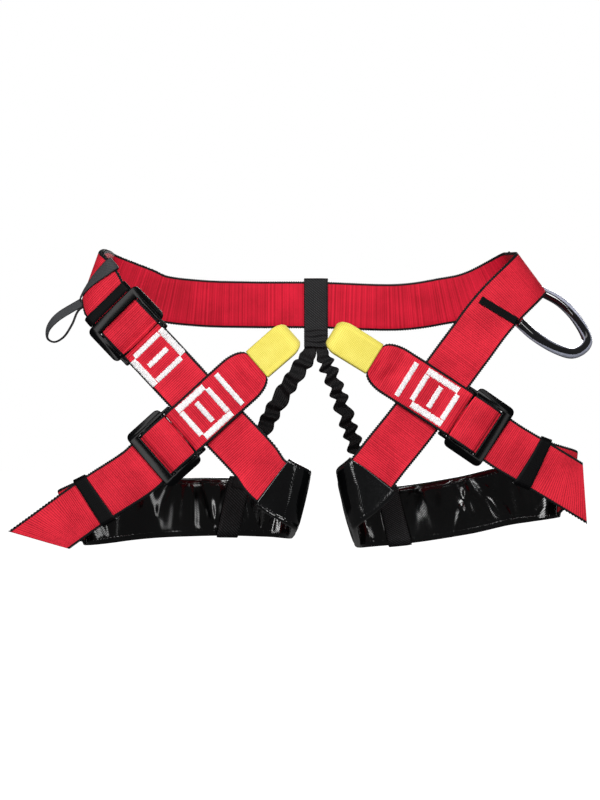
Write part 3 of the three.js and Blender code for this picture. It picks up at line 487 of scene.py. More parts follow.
def webbing_red():
    """Ribbed webbing with a black selvedge; on its inner side the ribs are calmer and the red is painted
    darker, as painted shade inside the hollow.
    """
    finish = Finish("webbing_red", {"Specular IOR Level": 0.16, "Sheen Weight": 0.03, "Sheen Roughness": 0.4})
    along, across, edge = finish.cloth()
    rib = along.wave(1.75)
    weave = rib * 0.75 + across.wave(1.3) * 0.25
    cloudy = finish.noise(38, 3)
    streak = finish.node("ShaderNodeTexNoise", {"noise_dimensions": "1D"}, {"W": along * 0.11, "Detail": 2})
    fibre = finish.noise(900)
    tone = (weave * 0.5 + cloudy * 0.55 + streak * 0.3 + fibre * 0.4).above(0.5, 1.25)
    lit = finish.blend(tone, (0.28, 0.002, 0.011, 1), (0.76, 0.022, 0.045, 1))
    # Painted shade: the inner face's red is darker, with calmer streaks and ribs, as shade inside the hollow
    calm = (cloudy * 0.4 + streak * 0.6 + rib * 0.06 + fibre * 0.1).above(0.32, 0.82)
    painted_shade_red = finish.blend(calm, (0.33, 0.0015, 0.012, 1), (0.66, 0.008, 0.034, 1))
    inner = finish.node("ShaderNodeAttribute", {"attribute_name": "inner"}, out="Fac")
    # Where the inner mask is set, the painted shade red replaces the lit red
    red = finish.blend(inner, lit, painted_shade_red)
    picot = along.wave(2.2)
    selvedge = 1 - (edge - picot * 0.25).above(1.75, 2.25)
    finish.set(Base_Color=finish.blend(selvedge, red, (0.004, 0.004, 0.005, 1)))
    finish.set(Roughness=0.62 + weave * 0.12 + fibre * 0.1)
    finish.bump(weave * (1 - inner * 0.7) + fibre * 0.4 + selvedge * picot * 0.8, 0.5, 0.25)
    return finish.material


def woven(name, constants, weave, tone, span, colours, rough, relief, grain=900, fuzz=0.5, hem=None):
    """Plain cloth: weave is made of along and across, tone of threads, fibre and edge."""
    finish = Finish(name, constants)
    along, across, edge = finish.cloth()
    threads = weave(along, across)
    fibre = finish.noise(grain)
    colour = finish.blend(tone(threads, fibre, edge).above(*span), *colours)
    if hem:
        low, high, share, rim = hem
        colour = finish.blend((1 - edge.above(low, high)) * share, colour, rim)
    finish.set(Base_Color=colour, Roughness=rough[0] + fibre * rough[1])
    finish.bump(threads + fibre * fuzz, *relief)
    return finish.material


def coated_black():
    """Shiny coated cloth over a zigzag scrim, with a row of stitches along both edges."""
    finish = Finish("coated_black", {"Specular IOR Level": 0.6})
    along, across, _ = finish.cloth()
    scrim = (across + along.math("PINGPONG", 8.0)).wave(2.3)
    grain = finish.noise(500)
    worn = (finish.noise(30, 3) * 0.7 + grain * 0.3).above(0.35, 0.8)
    finish.set(Base_Color=finish.blend(worn, (0.0012, 0.0013, 0.0015, 1), (0.004, 0.0042, 0.0047, 1)))
    finish.set(Roughness=0.06 + grain * 0.05 + worn * 0.05)
    out = across.math("ABSOLUTE")
    sewn = out.above(PAD.seam - 0.5, PAD.seam) * (1 - out.above(PAD.seam + 0.5, PAD.seam + 1))
    stitch = sewn * along.wave(PAD.stitch).above(0.2, 0.5)
    finish.bump(scrim + grain * 0.25 + stitch * 6, 0.3, 0.07)
    return finish.material


def steel_black():
    finish = Finish("steel_black", {"Specular IOR Level": 0.08})
    cloudy = finish.noise(45, 3)
    point = finish.node("ShaderNodeNewGeometry", out="Pointiness")
    rubbed = point.above(0.53, 0.6) * cloudy.above(0.35, 0.7)
    finish.set(Base_Color=finish.blend(rubbed, (0.0012, 0.0013, 0.0015, 1), (0.012, 0.0125, 0.014, 1)))
    finish.set(Roughness=0.1 + finish.noise(900) * 0.03 + cloudy * 0.05, Metallic=rubbed * 0.2)
    finish.bump(cloudy, 0.04, 0.1)
    return finish.material


def clear_tube():
    """Opaque stand-in for clear plastic over a black cord, which lies against the inner side of the bend; the
    outer side is painted pale for light seen through the clear wall, its outermost edge is painted darker,
    and a pale line near the inner side is a painted highlight.
    """
    finish = Finish("clear_tube", {"Specular IOR Level": 0.7, "Coat Roughness": 0.03, "Coat Weight": 0.5})
    along, around, inward = finish.cloth()
    braid = (along + around).wave(2.6) * 0.5 + (along - around).wave(2.6) * 0.5
    haze = finish.noise(120, 3)
    cord = finish.blend(braid * 0.7 + haze * 0.3, (0.001, 0.001, 0.0012, 1), (0.008, 0.008, 0.01, 1))
    # Bluish tint of the clear wall, painted pale for the light that shines through it
    wall = finish.blend(haze.above(0.3, 0.8), (0.34, 0.36, 0.45, 1), (0.5, 0.52, 0.63, 1))
    outer = 1 - inward.above(-0.48, -0.32)
    # Painted shade: a darker line along the outermost edge of the pale wall
    rim = 1 - inward.above(-0.97, -0.9)
    # Painted highlight: a pale line near the inner side of the bend
    painted_highlight_line = inward.above(0.62, 0.74) * (1 - inward.above(0.8, 0.92))
    finish.set(Base_Color=finish.blend(outer * (1 - rim * 0.7) + painted_highlight_line * 0.7, cord, wall))
    finish.set(Roughness=0.05 + haze * 0.05)
    finish.bump(braid * (1 - outer), 0.12, 0.05)
    return finish.material


def thread_white():
    finish = Finish("thread_white", {"Specular IOR Level": 0.3, "Sheen Weight": 0.1})
    fibre = finish.noise(1500, 3)
    tone = (fibre * 0.5 + finish.noise(160) * 0.5).above(0.3, 0.75)
    finish.set(Base_Color=finish.blend(tone, (0.8, 0.78, 0.79, 1), (0.96, 0.95, 0.95, 1)))
    finish.set(Roughness=0.5 + fibre * 0.2)
    finish.bump(fibre, 0.3, 0.1)
    return finish.material


JET = (0.001, 0.001, 0.0012, 1)
FINISHES = {
    "webbing_red": webbing_red(), "pad_black": coated_black(), "steel_black": steel_black(),
    "tube_black": clear_tube(), "thread_white": thread_white(),
    "sleeve_yellow": woven(
        "sleeve_yellow", {"Specular IOR Level": 0.2, "Sheen Weight": 0.04},
        lambda along, across: along.wave(1.4) * 0.55 + across.wave(1.4) * 0.45,
        lambda threads, fibre, _: threads * 0.5 + fibre.finish.noise(60, 3) * 0.4 + fibre * 0.25, (0.2, 0.95),
        ((0.58, 0.48, 0.045, 1), (0.86, 0.76, 0.17, 1)), (0.6, 0.15), (0.5, 0.25), 1000,
        hem=(0.2, 1.6, 0.5, (0.42, 0.33, 0.01, 1)),
    ),
    "webbing_black": woven(
        "webbing_black", {"Specular IOR Level": 0.17},
        lambda along, across: (along + across * 0.8).wave(2.4) * 0.8 + across.wave(1.8) * 0.2,
        lambda threads, fibre, _: threads * 0.7 + fibre * 0.4, (0.5, 1),
        ((0.0008, 0.0008, 0.001, 1), (0.034, 0.034, 0.037, 1)), (0.48, 0.2), (0.6, 0.28),
    ),
    "band_black": woven(
        "band_black", {"Specular IOR Level": 0.05},
        lambda along, across: along.wave(1.9) * 0.5 + across.wave(1.7) * 0.5,
        lambda threads, fibre, edge: threads * 0.4 + fibre * 0.4 + (1 - edge.above(0.2, 1.4)) * 0.4,
        (0.2, 1.1), (JET, (0.007, 0.007, 0.008, 1)), (0.42, 0.15), (0.3, 0.15), 700,
    ),
    "elastic_black": woven(
        "elastic_black", {"Specular IOR Level": 0.22},
        lambda along, across: across.wave(1.9) + along.wave(0.9) * 0.5,
        lambda threads, fibre, _: threads * 0.5 + fibre * 0.4, (0.2, 0.9),
        (JET, (0.005, 0.005, 0.006, 1)), (0.42, 0.2), (0.7, 0.35), fuzz=0.4,
    ),
    "tape_grey": woven(
        "tape_grey", {"Specular IOR Level": 0.25, "Sheen Weight": 0.05},
        lambda along, across: along.wave(0.9) * 0.5 + (across - along * 0.4).wave(1.1) * 0.5,
        lambda threads, fibre, _: threads * 0.6 + fibre * 0.5, (0.2, 0.9),
        ((0.018, 0.019, 0.021, 1), (0.05, 0.052, 0.056, 1)), (0.62, 0.2), (0.5, 0.22),
        hem=(0.3, 0.8, 1, (0.005, 0.005, 0.006, 1)),
    ),
}


def put(name, data):
    """A new object in the scene."""
    thing = bpy.data.objects.new(name, data)
    bpy.context.scene.collection.objects.link(thing)
    return thing


def new_piece(name, points, faces, slot, cloth=None, inner=None, node=None, look=None):
    """A mesh from points in millimetres, riding on the one body, standing for its solid."""
    points = np.asarray(points).reshape(-1, 3) * MM
    mesh = bpy.data.meshes.new(name)
    mesh.from_pydata(points.tolist(), [], faces)
    mesh.validate()
    if cloth is not None:
        layer = mesh.attributes.new("cloth", "FLOAT_VECTOR", "POINT")
        values = np.stack(np.broadcast_arrays(*cloth), axis=-1)
        layer.data.foreach_set("vector", values.astype(np.float32).ravel())
    # Mask of the points whose red is painted darker as shade: the belt's inner face
    shade = mesh.attributes.new("inner", "FLOAT", "POINT")
    inner = np.zeros(len(points)) if inner is None else inner
    shade.data.foreach_set("value", np.asarray(inner, np.float32).ravel())
    mesh.materials.append(FINISHES[look or slot])
    mesh.shade_smooth()
    piece = put(name, mesh)
    face_out(mesh)
    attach(piece, "root")
    if node:
        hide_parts(node)
    return piece


def face_out(mesh):
    """Turns the faces over where the closed mesh is inside out."""
    mesh.calc_loop_triangles()
    points = np.empty(len(mesh.vertices) * 3)
    mesh.vertices.foreach_get("co", points)
    corners = np.empty(len(mesh.loop_triangles) * 3, np.int32)
    mesh.loop_triangles.foreach_get("vertices", corners)
    a, b, c = (points.reshape(-1, 3)[corners.reshape(-1, 3)[:, k]] for k in range(3))
    if np.einsum("ij,ij->i", a, np.cross(b, c)).sum() < 0:
        mesh.flip_normals()


def grid_faces(rows, columns, start=0, closed_rows=False):
    """Quads of a grid whose columns close on themselves."""
    faces = []
    for i in range(rows if closed_rows else rows - 1):
        here = start + i * columns
        there = start + (i + 1) % rows * columns
        for j in range(columns):
            k = (j + 1) % columns
            faces.append((here + j, here + k, there + k, there + j))
    return faces


def rod_faces(rows, columns):
    """The same, with a cap at both ends."""
    last = (rows - 1) * columns
    caps = [tuple(range(columns))[::-1], tuple(last + j for j in range(columns))]
    return grid_faces(rows, columns) + caps


def stadium(width, thick, flats=8, arc=6):
    """Section with flat faces and round edges: across and up for each point."""
    radius = thick / 2
    flat = width / 2 - radius
    angles = np.linspace(math.pi / 2, 3 * math.pi / 2, arc, endpoint=False)
    section = [(x, radius) for x in np.linspace(flat, -flat, flats, endpoint=False)]
    section += [(-flat + radius * math.cos(a), radius * math.sin(a)) for a in angles]
    section += [(x, -radius) for x in np.linspace(-flat, flat, flats, endpoint=False)]
    section += [(flat - radius * math.cos(a), radius * math.sin(a)) for a in angles[::-1]]
    return np.array(section)


class Path:
    """Stations of a strap in its side view: distance along its line, lift off the body, slant, and line."""

    def __init__(self, place):
        self.main = place
        self.rows = []

    def add(self, s, lift, slant=0, place=None):
        self.rows.append((s, lift, slant, place or self.main))

    def run(self, start, end, lift, step=FINE):
        count = max(2, int(abs(end - start) / step))
        for s in np.linspace(start, end, count + 1):
            self.add(s, float(lift(s)) if callable(lift) else lift)

    def arc(self, s, lift, radius, first, last, steps=TURN_STEPS, place=None):
        for angle in np.radians(np.linspace(first, last, steps + 1)):
            self.add(s + radius * math.cos(angle), lift + radius * math.sin(angle), 0, place)

    def stations(self):
        kept = [self.rows[0]]
        for row in self.rows[1:]:
            if math.hypot(row[0] - kept[-1][0], row[1] - kept[-1][1]) > LEAST_STEP:
                kept.append(row)
        s, lift, slant = (np.array([row[k] for row in kept], float) for k in range(3))
        side = unit(np.stack([np.gradient(s), np.gradient(lift)], axis=-1))
        along = run_of(np.hypot(np.diff(s), np.diff(lift)))
        return Sizes(s=s, lift=lift, slant=slant, side=side, along=along, places=[row[3] for row in kept])


def by_place(at):
    """Each line of a path with a mask of the stations on it."""
    return [(place, np.array([p == place for p in at.places])) for place in set(at.places)]


def lay(at, across, up):
    """Points of the sections along a path; across and up have a row for each station."""
    s = at.s[:, None] - up * at.side[:, 1:2] + across * at.slant[:, None]
    lift = at.lift[:, None] + up * at.side[:, 0:1]
    points = np.empty(across.shape + (3,))
    for place, chosen in by_place(at):
        points[chosen] = place(s[chosen], across[chosen], lift[chosen])
    return points


def rib_lean(at):
    """Lean of the ribs at each station, from the line that the station lies on."""
    lean = np.zeros(len(at.s))
    for place, chosen in by_place(at):
        skew = getattr(getattr(place, "__self__", place), "skew", None)
        if skew:
            lean[chosen] = skew(at.s[chosen]) * np.sign(at.side[chosen, 0])
    return lean


def strap(
    name, slot, path, width, thick=WEB_THICK, node=None, picot=PICOT, ruffle=None, painted_shade_to=0, look=None,
):
    """Flat webbing along a path, with rounded edges that carry small picots."""
    at = path.stations()
    full = np.array([width(s) if callable(width) else float(width) for s in at.s])[:, None]
    section = stadium(WEB_WIDTH, thick)
    flat_edge = WEB_WIDTH / 2 - thick / 2
    side = np.sign(section[:, 0])
    rounded = np.abs(section[:, 0]) - flat_edge
    across = np.clip(section[:, 0] / flat_edge, -1, 1) * (full / 2 - thick / 2)
    across = across + np.where(rounded > 0, rounded, 0) * side
    tooth = np.where(np.arange(len(at.s)) % 2 == 0, picot, -picot)[:, None]
    across = across + np.where(rounded > thick * PICOT_SHARE, tooth * side, 0)
    up = np.broadcast_to(section[:, 1], across.shape)
    if ruffle:
        up = up + ruffle(at.along[:, None], across)
    lean = rib_lean(at)
    ribs = run_of(np.diff(at.along) * np.sqrt(1 - lean[1:] ** 2))[:, None]
    cloth = ribs + across * lean[:, None], across, full / 2 - np.abs(across)
    # Inner face, up to the given distance along, gets the painted shade of the red webbing
    inner = (section[:, 1] < -thick / 4) & (at.along[:, None] < painted_shade_to)
    return new_piece(name, lay(at, across, up), rod_faces(*across.shape), slot, cloth, inner, node, look)


def tube_of_cloth(name, slot, path, section, wall, node, puff=None):
    """A sleeve with an outer and an inner face, open at both ends; section is given s and how far in."""
    at = path.stations()
    edge = np.minimum(at.along, at.along[-1] - at.along)[:, None]
    points, spread = [], []
    for inset in (0, wall):
        loops = np.array([section(s, inset) for s in at.s])
        across, up = loops[..., 0], loops[..., 1]
        if puff:
            up = up + puff(at.s[:, None], across, up)
        points.append(lay(at, across, up))
        spread.append(across)
    rows, columns = across.shape
    second = rows * columns
    faces = grid_faces(rows, columns)
    faces += [face[::-1] for face in grid_faces(rows, columns, second)]
    for base, turn in ((0, 1), ((rows - 1) * columns, -1)):
        for j in range(base, base + columns):
            k = base + (j - base + 1) % columns
            faces.append((k, j, second + j, second + k)[::turn])
    return new_piece(name, points, faces, slot, (at.along[:, None], np.array(spread), edge), None, node)


def band(name, slot, line, centre, lift, room, length, wall, lean, node, look=None):
    """A flat band sewn into a ring round a strap: room is the inner width and thickness."""
    loop = stadium(room[0] + wall, room[1] + wall, *RING_POINTS)
    ahead = np.roll(loop, -1, axis=0) - np.roll(loop, 1, axis=0)
    outward = unit(np.stack([-ahead[:, 1], ahead[:, 0]], axis=-1))
    beside, out = stadium(length, wall, *TAPE_POINTS).T
    across = loop[:, None, 0] + outward[:, None, 0] * out
    up = loop[:, None, 1] + outward[:, None, 1] * out
    points = line.place(centre + beside + lean * across, across, lift + up)
    around = run_of(np.linalg.norm(np.diff(loop, axis=0), axis=1))[:, None]
    cloth = around, beside, length / 2 - np.abs(beside)
    faces = grid_faces(*across.shape, closed_rows=True)
    return new_piece(name, points, faces, slot, cloth, None, node, look)


def add_strand(path, line, name, tail_line=None):
    """In under the outer bar, over the centre bar, back out as the tail with its slanted end."""
    b = BUCKLE
    drop = ADJUSTERS[name].drop
    base = line.length
    top, load, tail = drop + OVER_LIFT, drop + LOAD_LIFT, drop + TAIL_LIFT
    half = (top - b.dip - load) / 2
    over = OVER_LIFT - FRAME_LIFT - b.over_clear
    down = b.down_at - b.under_start
    free = line.place
    if tail_line:
        def free(s, across, lift):
            return tail_line.place(tail_line.length + s - base, across, lift)

        free.skew = lambda s: tail_line.skew(tail_line.length + s - base)
    path.arc(base + b.turn, load + half, half, -90, 90)
    for share in np.linspace(0, 1, ARCH_STEPS + 1)[1:-1]:
        arch = b.bulge * math.sin(math.pi * share) - b.dip * (1 - float(smooth(share, 0, b.dip_run)))
        path.add(base + mix(b.turn, b.over_start, share), top + arch, 0, free)
    path.arc(base + b.over_start, top - over, over, 90, 180, BEND_STEPS, free)
    path.arc(base + b.under_start, tail + down, down, 0, -90, BEND_STEPS, free)
    cut = TAILS[name]
    end = base - cut.length
    for s in np.arange(base + b.tail_start, end, -FINE):
        lift = tail + cut.ease * float(smooth(base - s, *TAIL_EASE))
        path.add(s, lift, cut.slant * max(0, 1 - (s - end) / SLANT_RUN), free)


def add_fold(path, drop):
    """Round the end bar of an adjuster, from below to above."""
    lower, upper = drop + TAIL_LIFT, drop + OVER_LIFT
    path.arc(BUCKLE.end_bar + BUCKLE.fold_inset, (lower + upper) / 2, (upper - lower) / 2, 270, 90)


def waist_belt():
    middle = waist_line.near(("back", 0, 0))
    hip = waist_line.length - HIP_SETTLE
    path = Path(waist_line.place)
    reach = waist_line.length + BUCKLE.turn - 1
    path.run(0, reach, lambda s: LOAD_LIFT + HIP_DROP * smooth(s, middle, hip))
    add_strand(path, waist_line, "hip")
    # The belt's inner face round the back, up to the buckle, is painted darker as shade
    strap("waist_belt_webbing", "webbing_red", path, WEB_WIDTH, node="waist_belt", painted_shade_to=waist_line.length)


def cross_lift(s):
    end = BUCKLE.length
    return mix(HIP_DROP + OVER_LIFT, LOAD_LIFT, smooth(s, end, end + SETTLE))


def cross_strap():
    line = leg_lines["leg_left"]
    path = Path(line.place)
    path.run(BUCKLE.length + FLAP, BUCKLE.end_bar + BUCKLE.fold_lead, HIP_DROP + TAIL_LIFT)
    add_fold(path, HIP_DROP)
    path.run(BUCKLE.length, line.near(PADS["left"].mouth) + PAD.overlap, cross_lift)
    strap("cross_strap_webbing", "webbing_red", path, WEB_WIDTH, node="cross_strap_left")


def leg_strap(side):
    name = "leg_" + side
    line = leg_lines[name]
    path = Path(line.place)
    path.run(line.near(PADS[side].end) - PAD.overlap, line.length + BUCKLE.turn - 1, LOAD_LIFT)
    add_strand(path, line, name, tail_lines[name])
    strap(f"leg_strap_{side}_webbing", "webbing_red", path, WEB_WIDTH, node=f"leg_strap_{side}")


class EyeShape:
    """Side view of a tie-in strap's eye."""

    def __init__(self, line):
        self.centre = line.length - (EYE.radius + WEB_THICK / 2 + GAP + SLEEVE.wall)
        self.middle = TAIL_LIFT + LAYER / 2

    def spread(self, s):
        return LAYER / 2 + (EYE.radius - LAYER / 2) * smooth(s, EYE.spread_from, self.centre)

    def upper(self, s):
        return self.middle + self.spread(s)

    def lower(self, s):
        return self.middle - self.spread(s)

    def pull(self, s):
        """How much narrower the eye is where its end is rounded."""
        share = (s - self.centre + EYE.narrow) / (EYE.radius + EYE.narrow)
        return (EYE.width - EYE.tip) * (1 - math.sqrt(1 - min(EYE.roundest, max(0, share)) ** 2))

    def raised(self, s):
        """The upper layer where it also comes down from the buckle."""
        end = BUCKLE.length
        height = OVER_LIFT - self.upper(end + SETTLE)
        return self.upper(s) + height * (1 - smooth(s, end, end + SETTLE))

    def add_bend(self, path):
        path.arc(self.centre, self.middle, EYE.radius, EYE.arc, -EYE.arc)


def tie_in_strap(side):
    line = tie_lines["leg_" + side]
    eye = EyeShape(line)
    settled = BUCKLE.length + SETTLE
    path = Path(line.place)
    path.run(EYE.seam, BUCKLE.end_bar + BUCKLE.fold_lead, lambda s: eye.lower(min(s, settled)))
    add_fold(path, 0)
    path.run(BUCKLE.length, eye.centre, eye.raised)
    eye.add_bend(path)
    path.run(eye.centre, EYE.seam + 1, eye.lower)

    def width(s):
        share = (s - EYE.taper_from) / (EYE.taper_to - EYE.taper_from)
        full = mix(EYE.width, WEB_WIDTH, math.sqrt(1 - min(1, max(0, share)) ** 2))
        return full - eye.pull(s)

    at = path.stations()
    on_top = (at.lift > eye.middle) & (at.s > settled)
    before = np.interp(DENTED.start, at.s[on_top], at.along[on_top]) - DENTED.start

    def dents(along, across):
        s = along - before
        height = 0
        for centre, middle, lean, wide, tall in EYE_DENTS:
            off = (s - centre - lean * (across - middle)) / wide
            height = height + tall * np.exp(-off ** 2 - ((across - middle) / DENTED.reach) ** 2)
        return height * smooth(s, DENTED.start, DENTED.full) * (1 - smooth(s, DENTED.fade, DENTED.end))

    strap(
        f"tie_in_strap_{side}_webbing", "webbing_red", path, width, node=f"tie_in_strap_{side}", ruffle=dents,
    )


def eye_sleeve(side):
    line = tie_lines["leg_" + side]
    eye = EyeShape(line)
    path = Path(line.place)
    path.run(EYE.sleeve_from, eye.centre, eye.upper)
    eye.add_bend(path)
    path.run(eye.centre, EYE.sleeve_from, eye.lower)
    thick = WEB_THICK + 2 * (SLEEVE.slack + SLEEVE.wall)

    def section(s, inset):
        return stadium(SLEEVE.width - 2 * inset - eye.pull(s), thick - 2 * inset)

    name = f"eye_sleeve_{side}"
    tube_of_cloth(name + "_weave", "sleeve_yellow", path, section, SLEEVE.wall, name)


def crease(rng, kind, s, face=None):
    return Sizes(
        s=s, lean=rng.gauss(0, kind.lean), wide=rng.uniform(*kind.wide), face=face or rng.choice((-1, 1)),
        tall=rng.choice((-1, 1)) * rng.uniform(*kind.tall), middle=rng.uniform(-kind.middle, kind.middle),
        reach=rng.uniform(*kind.reach),
    )


def pad_folds(seed, start, end, calm):
    """Relief of the coated cloth: creases that leave the ends smooth, a slight swell, a hem."""
    rng = random.Random(seed)
    creases = []
    place = start + LONG_CREASE.lead
    while place < end - LONG_CREASE.rest:
        for face in (-1, 1):
            shift = rng.uniform(-LONG_CREASE.shift, LONG_CREASE.shift)
            creases.append(crease(rng, LONG_CREASE, place + shift, face))
        place += rng.uniform(*LONG_CREASE.step)
    for _ in range(SHORT_CREASE.count):
        creases.append(crease(rng, SHORT_CREASE, rng.uniform(start, end)))

    def puff(s, across, up):
        fade = smooth(s, start + calm / PAD.calm_share, start + calm)
        fade = fade * (1 - smooth(s, end - PAD.calm_end, end))
        face = np.sign(up)
        height = 0
        for c in creases:
            off = (s - c.s - c.lean * (across - c.middle)) / c.wide
            side = (across - c.middle) / c.reach
            height = height + (face == c.face) * c.tall * np.exp(-np.abs(off) ** PAD.crest - side ** 2)
        height = PAD.room * np.tanh(height / PAD.room)
        swell = PAD.swell * (1 - (across / (PAD.back / 2)) ** 2)
        hem = PAD.hem_deep * np.exp(-((np.abs(across) - PAD.back / 2 + PAD.hem) / PAD.hem_wide) ** 2)
        flat = np.clip(1 - (np.abs(across) / PAD.flat_half) ** PAD.flat_power, 0, 1)
        return face * (fade * flat * (height + swell) - flat * hem)

    return puff


def leg_pad(side):
    line = leg_lines["leg_" + side]
    row = PADS[side]
    start, end = line.near(row.mouth), line.near(row.end)
    path = Path(line.place)
    path.run(start, end, LOAD_LIFT, PAD.step)

    def section(s, inset):
        closing = 1 - float(smooth(s, end - PAD.end_fade, end))
        opening = float(smooth(s, start, start + PAD.mouth_fade))
        width = mix(PAD.mouth, PAD.back, min(opening, closing))
        hollow = mix(WEB_THICK + PAD.pinch, WEB_THICK + 2 * PAD.slack, closing)
        return stadium(width - 2 * inset, hollow + 2 * (PAD.wall - inset), *PAD_POINTS)

    name = f"leg_pad_{side}"
    folds = pad_folds(row.seed, start, end, row.calm)
    pad = tube_of_cloth(name + "_sleeve", "pad_black", path, section, PAD.wall, name, folds)


def pad_loop(side):
    line = leg_lines["leg_" + side]
    row = PAD_LOOPS[side]
    name = f"pad_loop_{side}"
    room = (PAD.back + 2 * GAP, WEB_THICK + 2 * (PAD.slack + PAD_LOOP.cloth + PAD.room + GAP))
    band(
        name + "_webbing", "webbing_black", line, line.near(("back", row.x, row.z)), LOAD_LIFT, room,
        PAD_LOOP.width, PAD_LOOP.wall, row.lean, name,
    )


def round_both(slack):
    """Room and lift of a band round a strap and its tail."""
    room = (WEB_WIDTH + 2 * slack, WEB_THICK + LAYER + 2 * slack)
    return room, (LOAD_LIFT + TAIL_LIFT) / 2


def keeper(name):
    row = KEEPERS[name]
    line = hip_line if row.adjuster == "hip" else leg_lines[row.adjuster]
    room, lift = round_both(row.slack)
    band(
        name + "_band", "webbing_black", line, line.length - row.behind, ADJUSTERS[row.adjuster].drop + lift,
        room, row.length, KEEPER_WALL, row.lean, name, "band_black",
    )


def rounded_outline(corners, steps=8):
    """Points of an outline whose corners are (x, y, radius)."""
    points = []
    for i, (x, y, radius) in enumerate(corners):
        here = Vector((x, y))
        before = (Vector(corners[i - 1][:2]) - here).normalized()
        after = (Vector(corners[(i + 1) % len(corners)][:2]) - here).normalized()
        first, last = here + before * radius, here + after * radius
        for t in np.linspace(0, 1, steps).tolist():
            points.append((1 - t) ** 2 * first + 2 * t * (1 - t) * here + t ** 2 * last)
    return points


def buckle(name):
    """Pressed steel frame with two slots, rounded edges and slightly bent wings."""
    b = BUCKLE
    near_side = [
        (0, -b.half, b.corner), (b.shoulder, -b.half, b.corner), (b.shoulder, -b.neck, b.notch),
        (b.length, -b.neck, b.end_corner),
    ]
    outlines = [rounded_outline(near_side + [(x, -y, radius) for x, y, radius in near_side[::-1]])]
    slots = ((b.outer_bar, b.centre_start, b.outer_slot), (b.centre_end, b.end_bar, b.inner_slot))
    for low, high, half in slots:
        corners = ((low, -half), (low, half), (high, half), (high, -half))
        outlines.append(rounded_outline([(*corner, b.slot_corner) for corner in corners]))
    flat = bpy.data.curves.new(name, "CURVE")
    flat.dimensions = "2D"
    flat.fill_mode = "BOTH"
    flat.extrude = b.thick / 2 - b.bevel
    flat.bevel_depth = b.bevel
    flat.bevel_resolution = b.bevel_steps
    flat.offset = -b.bevel
    for outline in outlines:
        spline = flat.splines.new("POLY")
        spline.points.add(len(outline) - 1)
        for point, at in zip(spline.points, outline):
            point.co = (at.x, at.y, 0, 1)
        spline.use_cyclic_u = True
    holder = put(name, flat)
    shape = bpy.data.meshes.new_from_object(holder.evaluated_get(bpy.context.evaluated_depsgraph_get()))
    ahead, across, up = np.array([v.co for v in shape.vertices]).T
    faces = [tuple(p.vertices) for p in shape.polygons]
    bpy.data.objects.remove(holder)
    row = ADJUSTERS[name]
    heading = math.radians(row.angle)
    wing = smooth(np.abs(across), b.inner_slot, b.half)
    sunk = b.dip * (np.abs(across) < b.inner_slot) * smooth(ahead, b.centre_start, b.centre_end)
    sunk = sunk * (ahead < b.end_bar - b.bar_edge) * (up > 0)
    lift = row.drop + FRAME_LIFT + up - b.camber * wing - sunk
    x = row.x + ahead * math.cos(heading) + across * math.sin(heading)
    z = row.z + ahead * math.sin(heading) - across * math.cos(heading)
    points = round_to_body(x, -HALF_DEPTH - lift, z)
    piece = new_piece(f"buckle_{name}_frame", points, faces, "steel_black", node=f"buckle_{name}")
    piece.modifiers.new("weld", "WELD").merge_threshold = WELD


def back_strap():
    b = BACK_STRAP
    inner = -GAP - b.thick / 2
    outer = WEB_THICK + GAP + b.thick / 2
    top = WEB_WIDTH / 2 + GAP
    path = Path(lambda s, across, lift: round_to_body(across, HALF_DEPTH + lift, s))
    path.run(b.bottom, top, inner)
    path.arc(top, (inner + outer) / 2, (outer - inner) / 2, -90, 90)
    path.run(top, b.bottom + b.shorter, outer)

    def gathers(along, across):
        fade = 1 - smooth(along, b.gathered * b.gathered_share, b.gathered)
        sway = b.sway * np.sin(across / b.sway_across + along / b.sway_along)
        wave = np.sin(2 * math.pi * along / b.pitch + sway)
        return -b.gather * fade * (0.5 + 0.5 * wave) * (1 - b.edge * (across / b.width * 2) ** 2)

    strap("back_strap_webbing", "webbing_black", path, b.width, b.thick, "back_strap", b.picot, gathers)


def elastic_riser(side):
    """Gathered elastic: waves in and out, edges that puff and sway unevenly."""
    table = curve_table(RISER_ROWS[side])
    length = table[0][-1]
    r, row, seed = RISER, RISERS[side], PADS[side].seed

    def phase(s):
        flutter = r.flutter * np.sin(s / r.flutter_run + 2 * seed)
        return 2 * math.pi * s / row.pitch + r.drift * np.sin(s / r.drift_run + seed) + flutter

    def fade(s):
        return smooth(s, *r.fade_in) * (1 - smooth(s, *(length - rest for rest in r.fade_out)))

    def place(s, across, lift):
        point, heading = along_table(table, np.asarray(s, float))
        uneven = 1 - r.uneven + r.uneven * np.sin(s / r.uneven_run + seed)
        shift = row.stagger * math.pi / 2 * (across < 0)
        puffed = 2 * np.abs(np.sin(0.5 * phase(s) + shift)) ** r.puff - 1
        edge = row.flare * uneven * puffed * np.sign(across)
        bent = row.sway * np.sin(phase(s) + seed)
        across = across + fade(s) * (bent + edge * np.clip(np.abs(across) / row.width * 2, 0, 1) ** 2)
        x = point[..., 0] - across * heading[..., 1]
        return round_to_body(x, HALF_DEPTH + lift, point[..., 1] + across * heading[..., 0])

    def lift(s):
        return mix(r.top_lift, r.bottom_lift, smooth(s, r.lift_from, length - r.lift_rest))

    def width(s):
        return float(mix(r.top, row.width, smooth(s, 0, r.wide_to)))

    def ruffle(along, across):
        out = np.clip(np.abs(across) / (row.width / 2), 0, r.past_edge)
        lean = row.lean * np.sin(along / r.lean_run + seed) * across
        main = row.wave * np.sin(phase(along) + lean)
        fine = np.sin(r.ripple_rate * phase(along) + np.sign(across) * r.ripple_apart)
        return fade(along) * (main + r.ripple * out ** 2 * fine)

    path = Path(place)
    path.run(0, length, lift, r.step)
    name = f"elastic_riser_{side}"
    strap(name + "_cloth", "elastic_black", path, width, r.thick, name, FINE_PICOT, ruffle)


def sweep(knots, count):
    """Even stations on a curve: distances along it, points and headings."""
    table = curve_table(knots)
    s = np.linspace(0, table[0][-1], count)
    points, heading = along_table(table, s)
    return s, points, unit(heading)


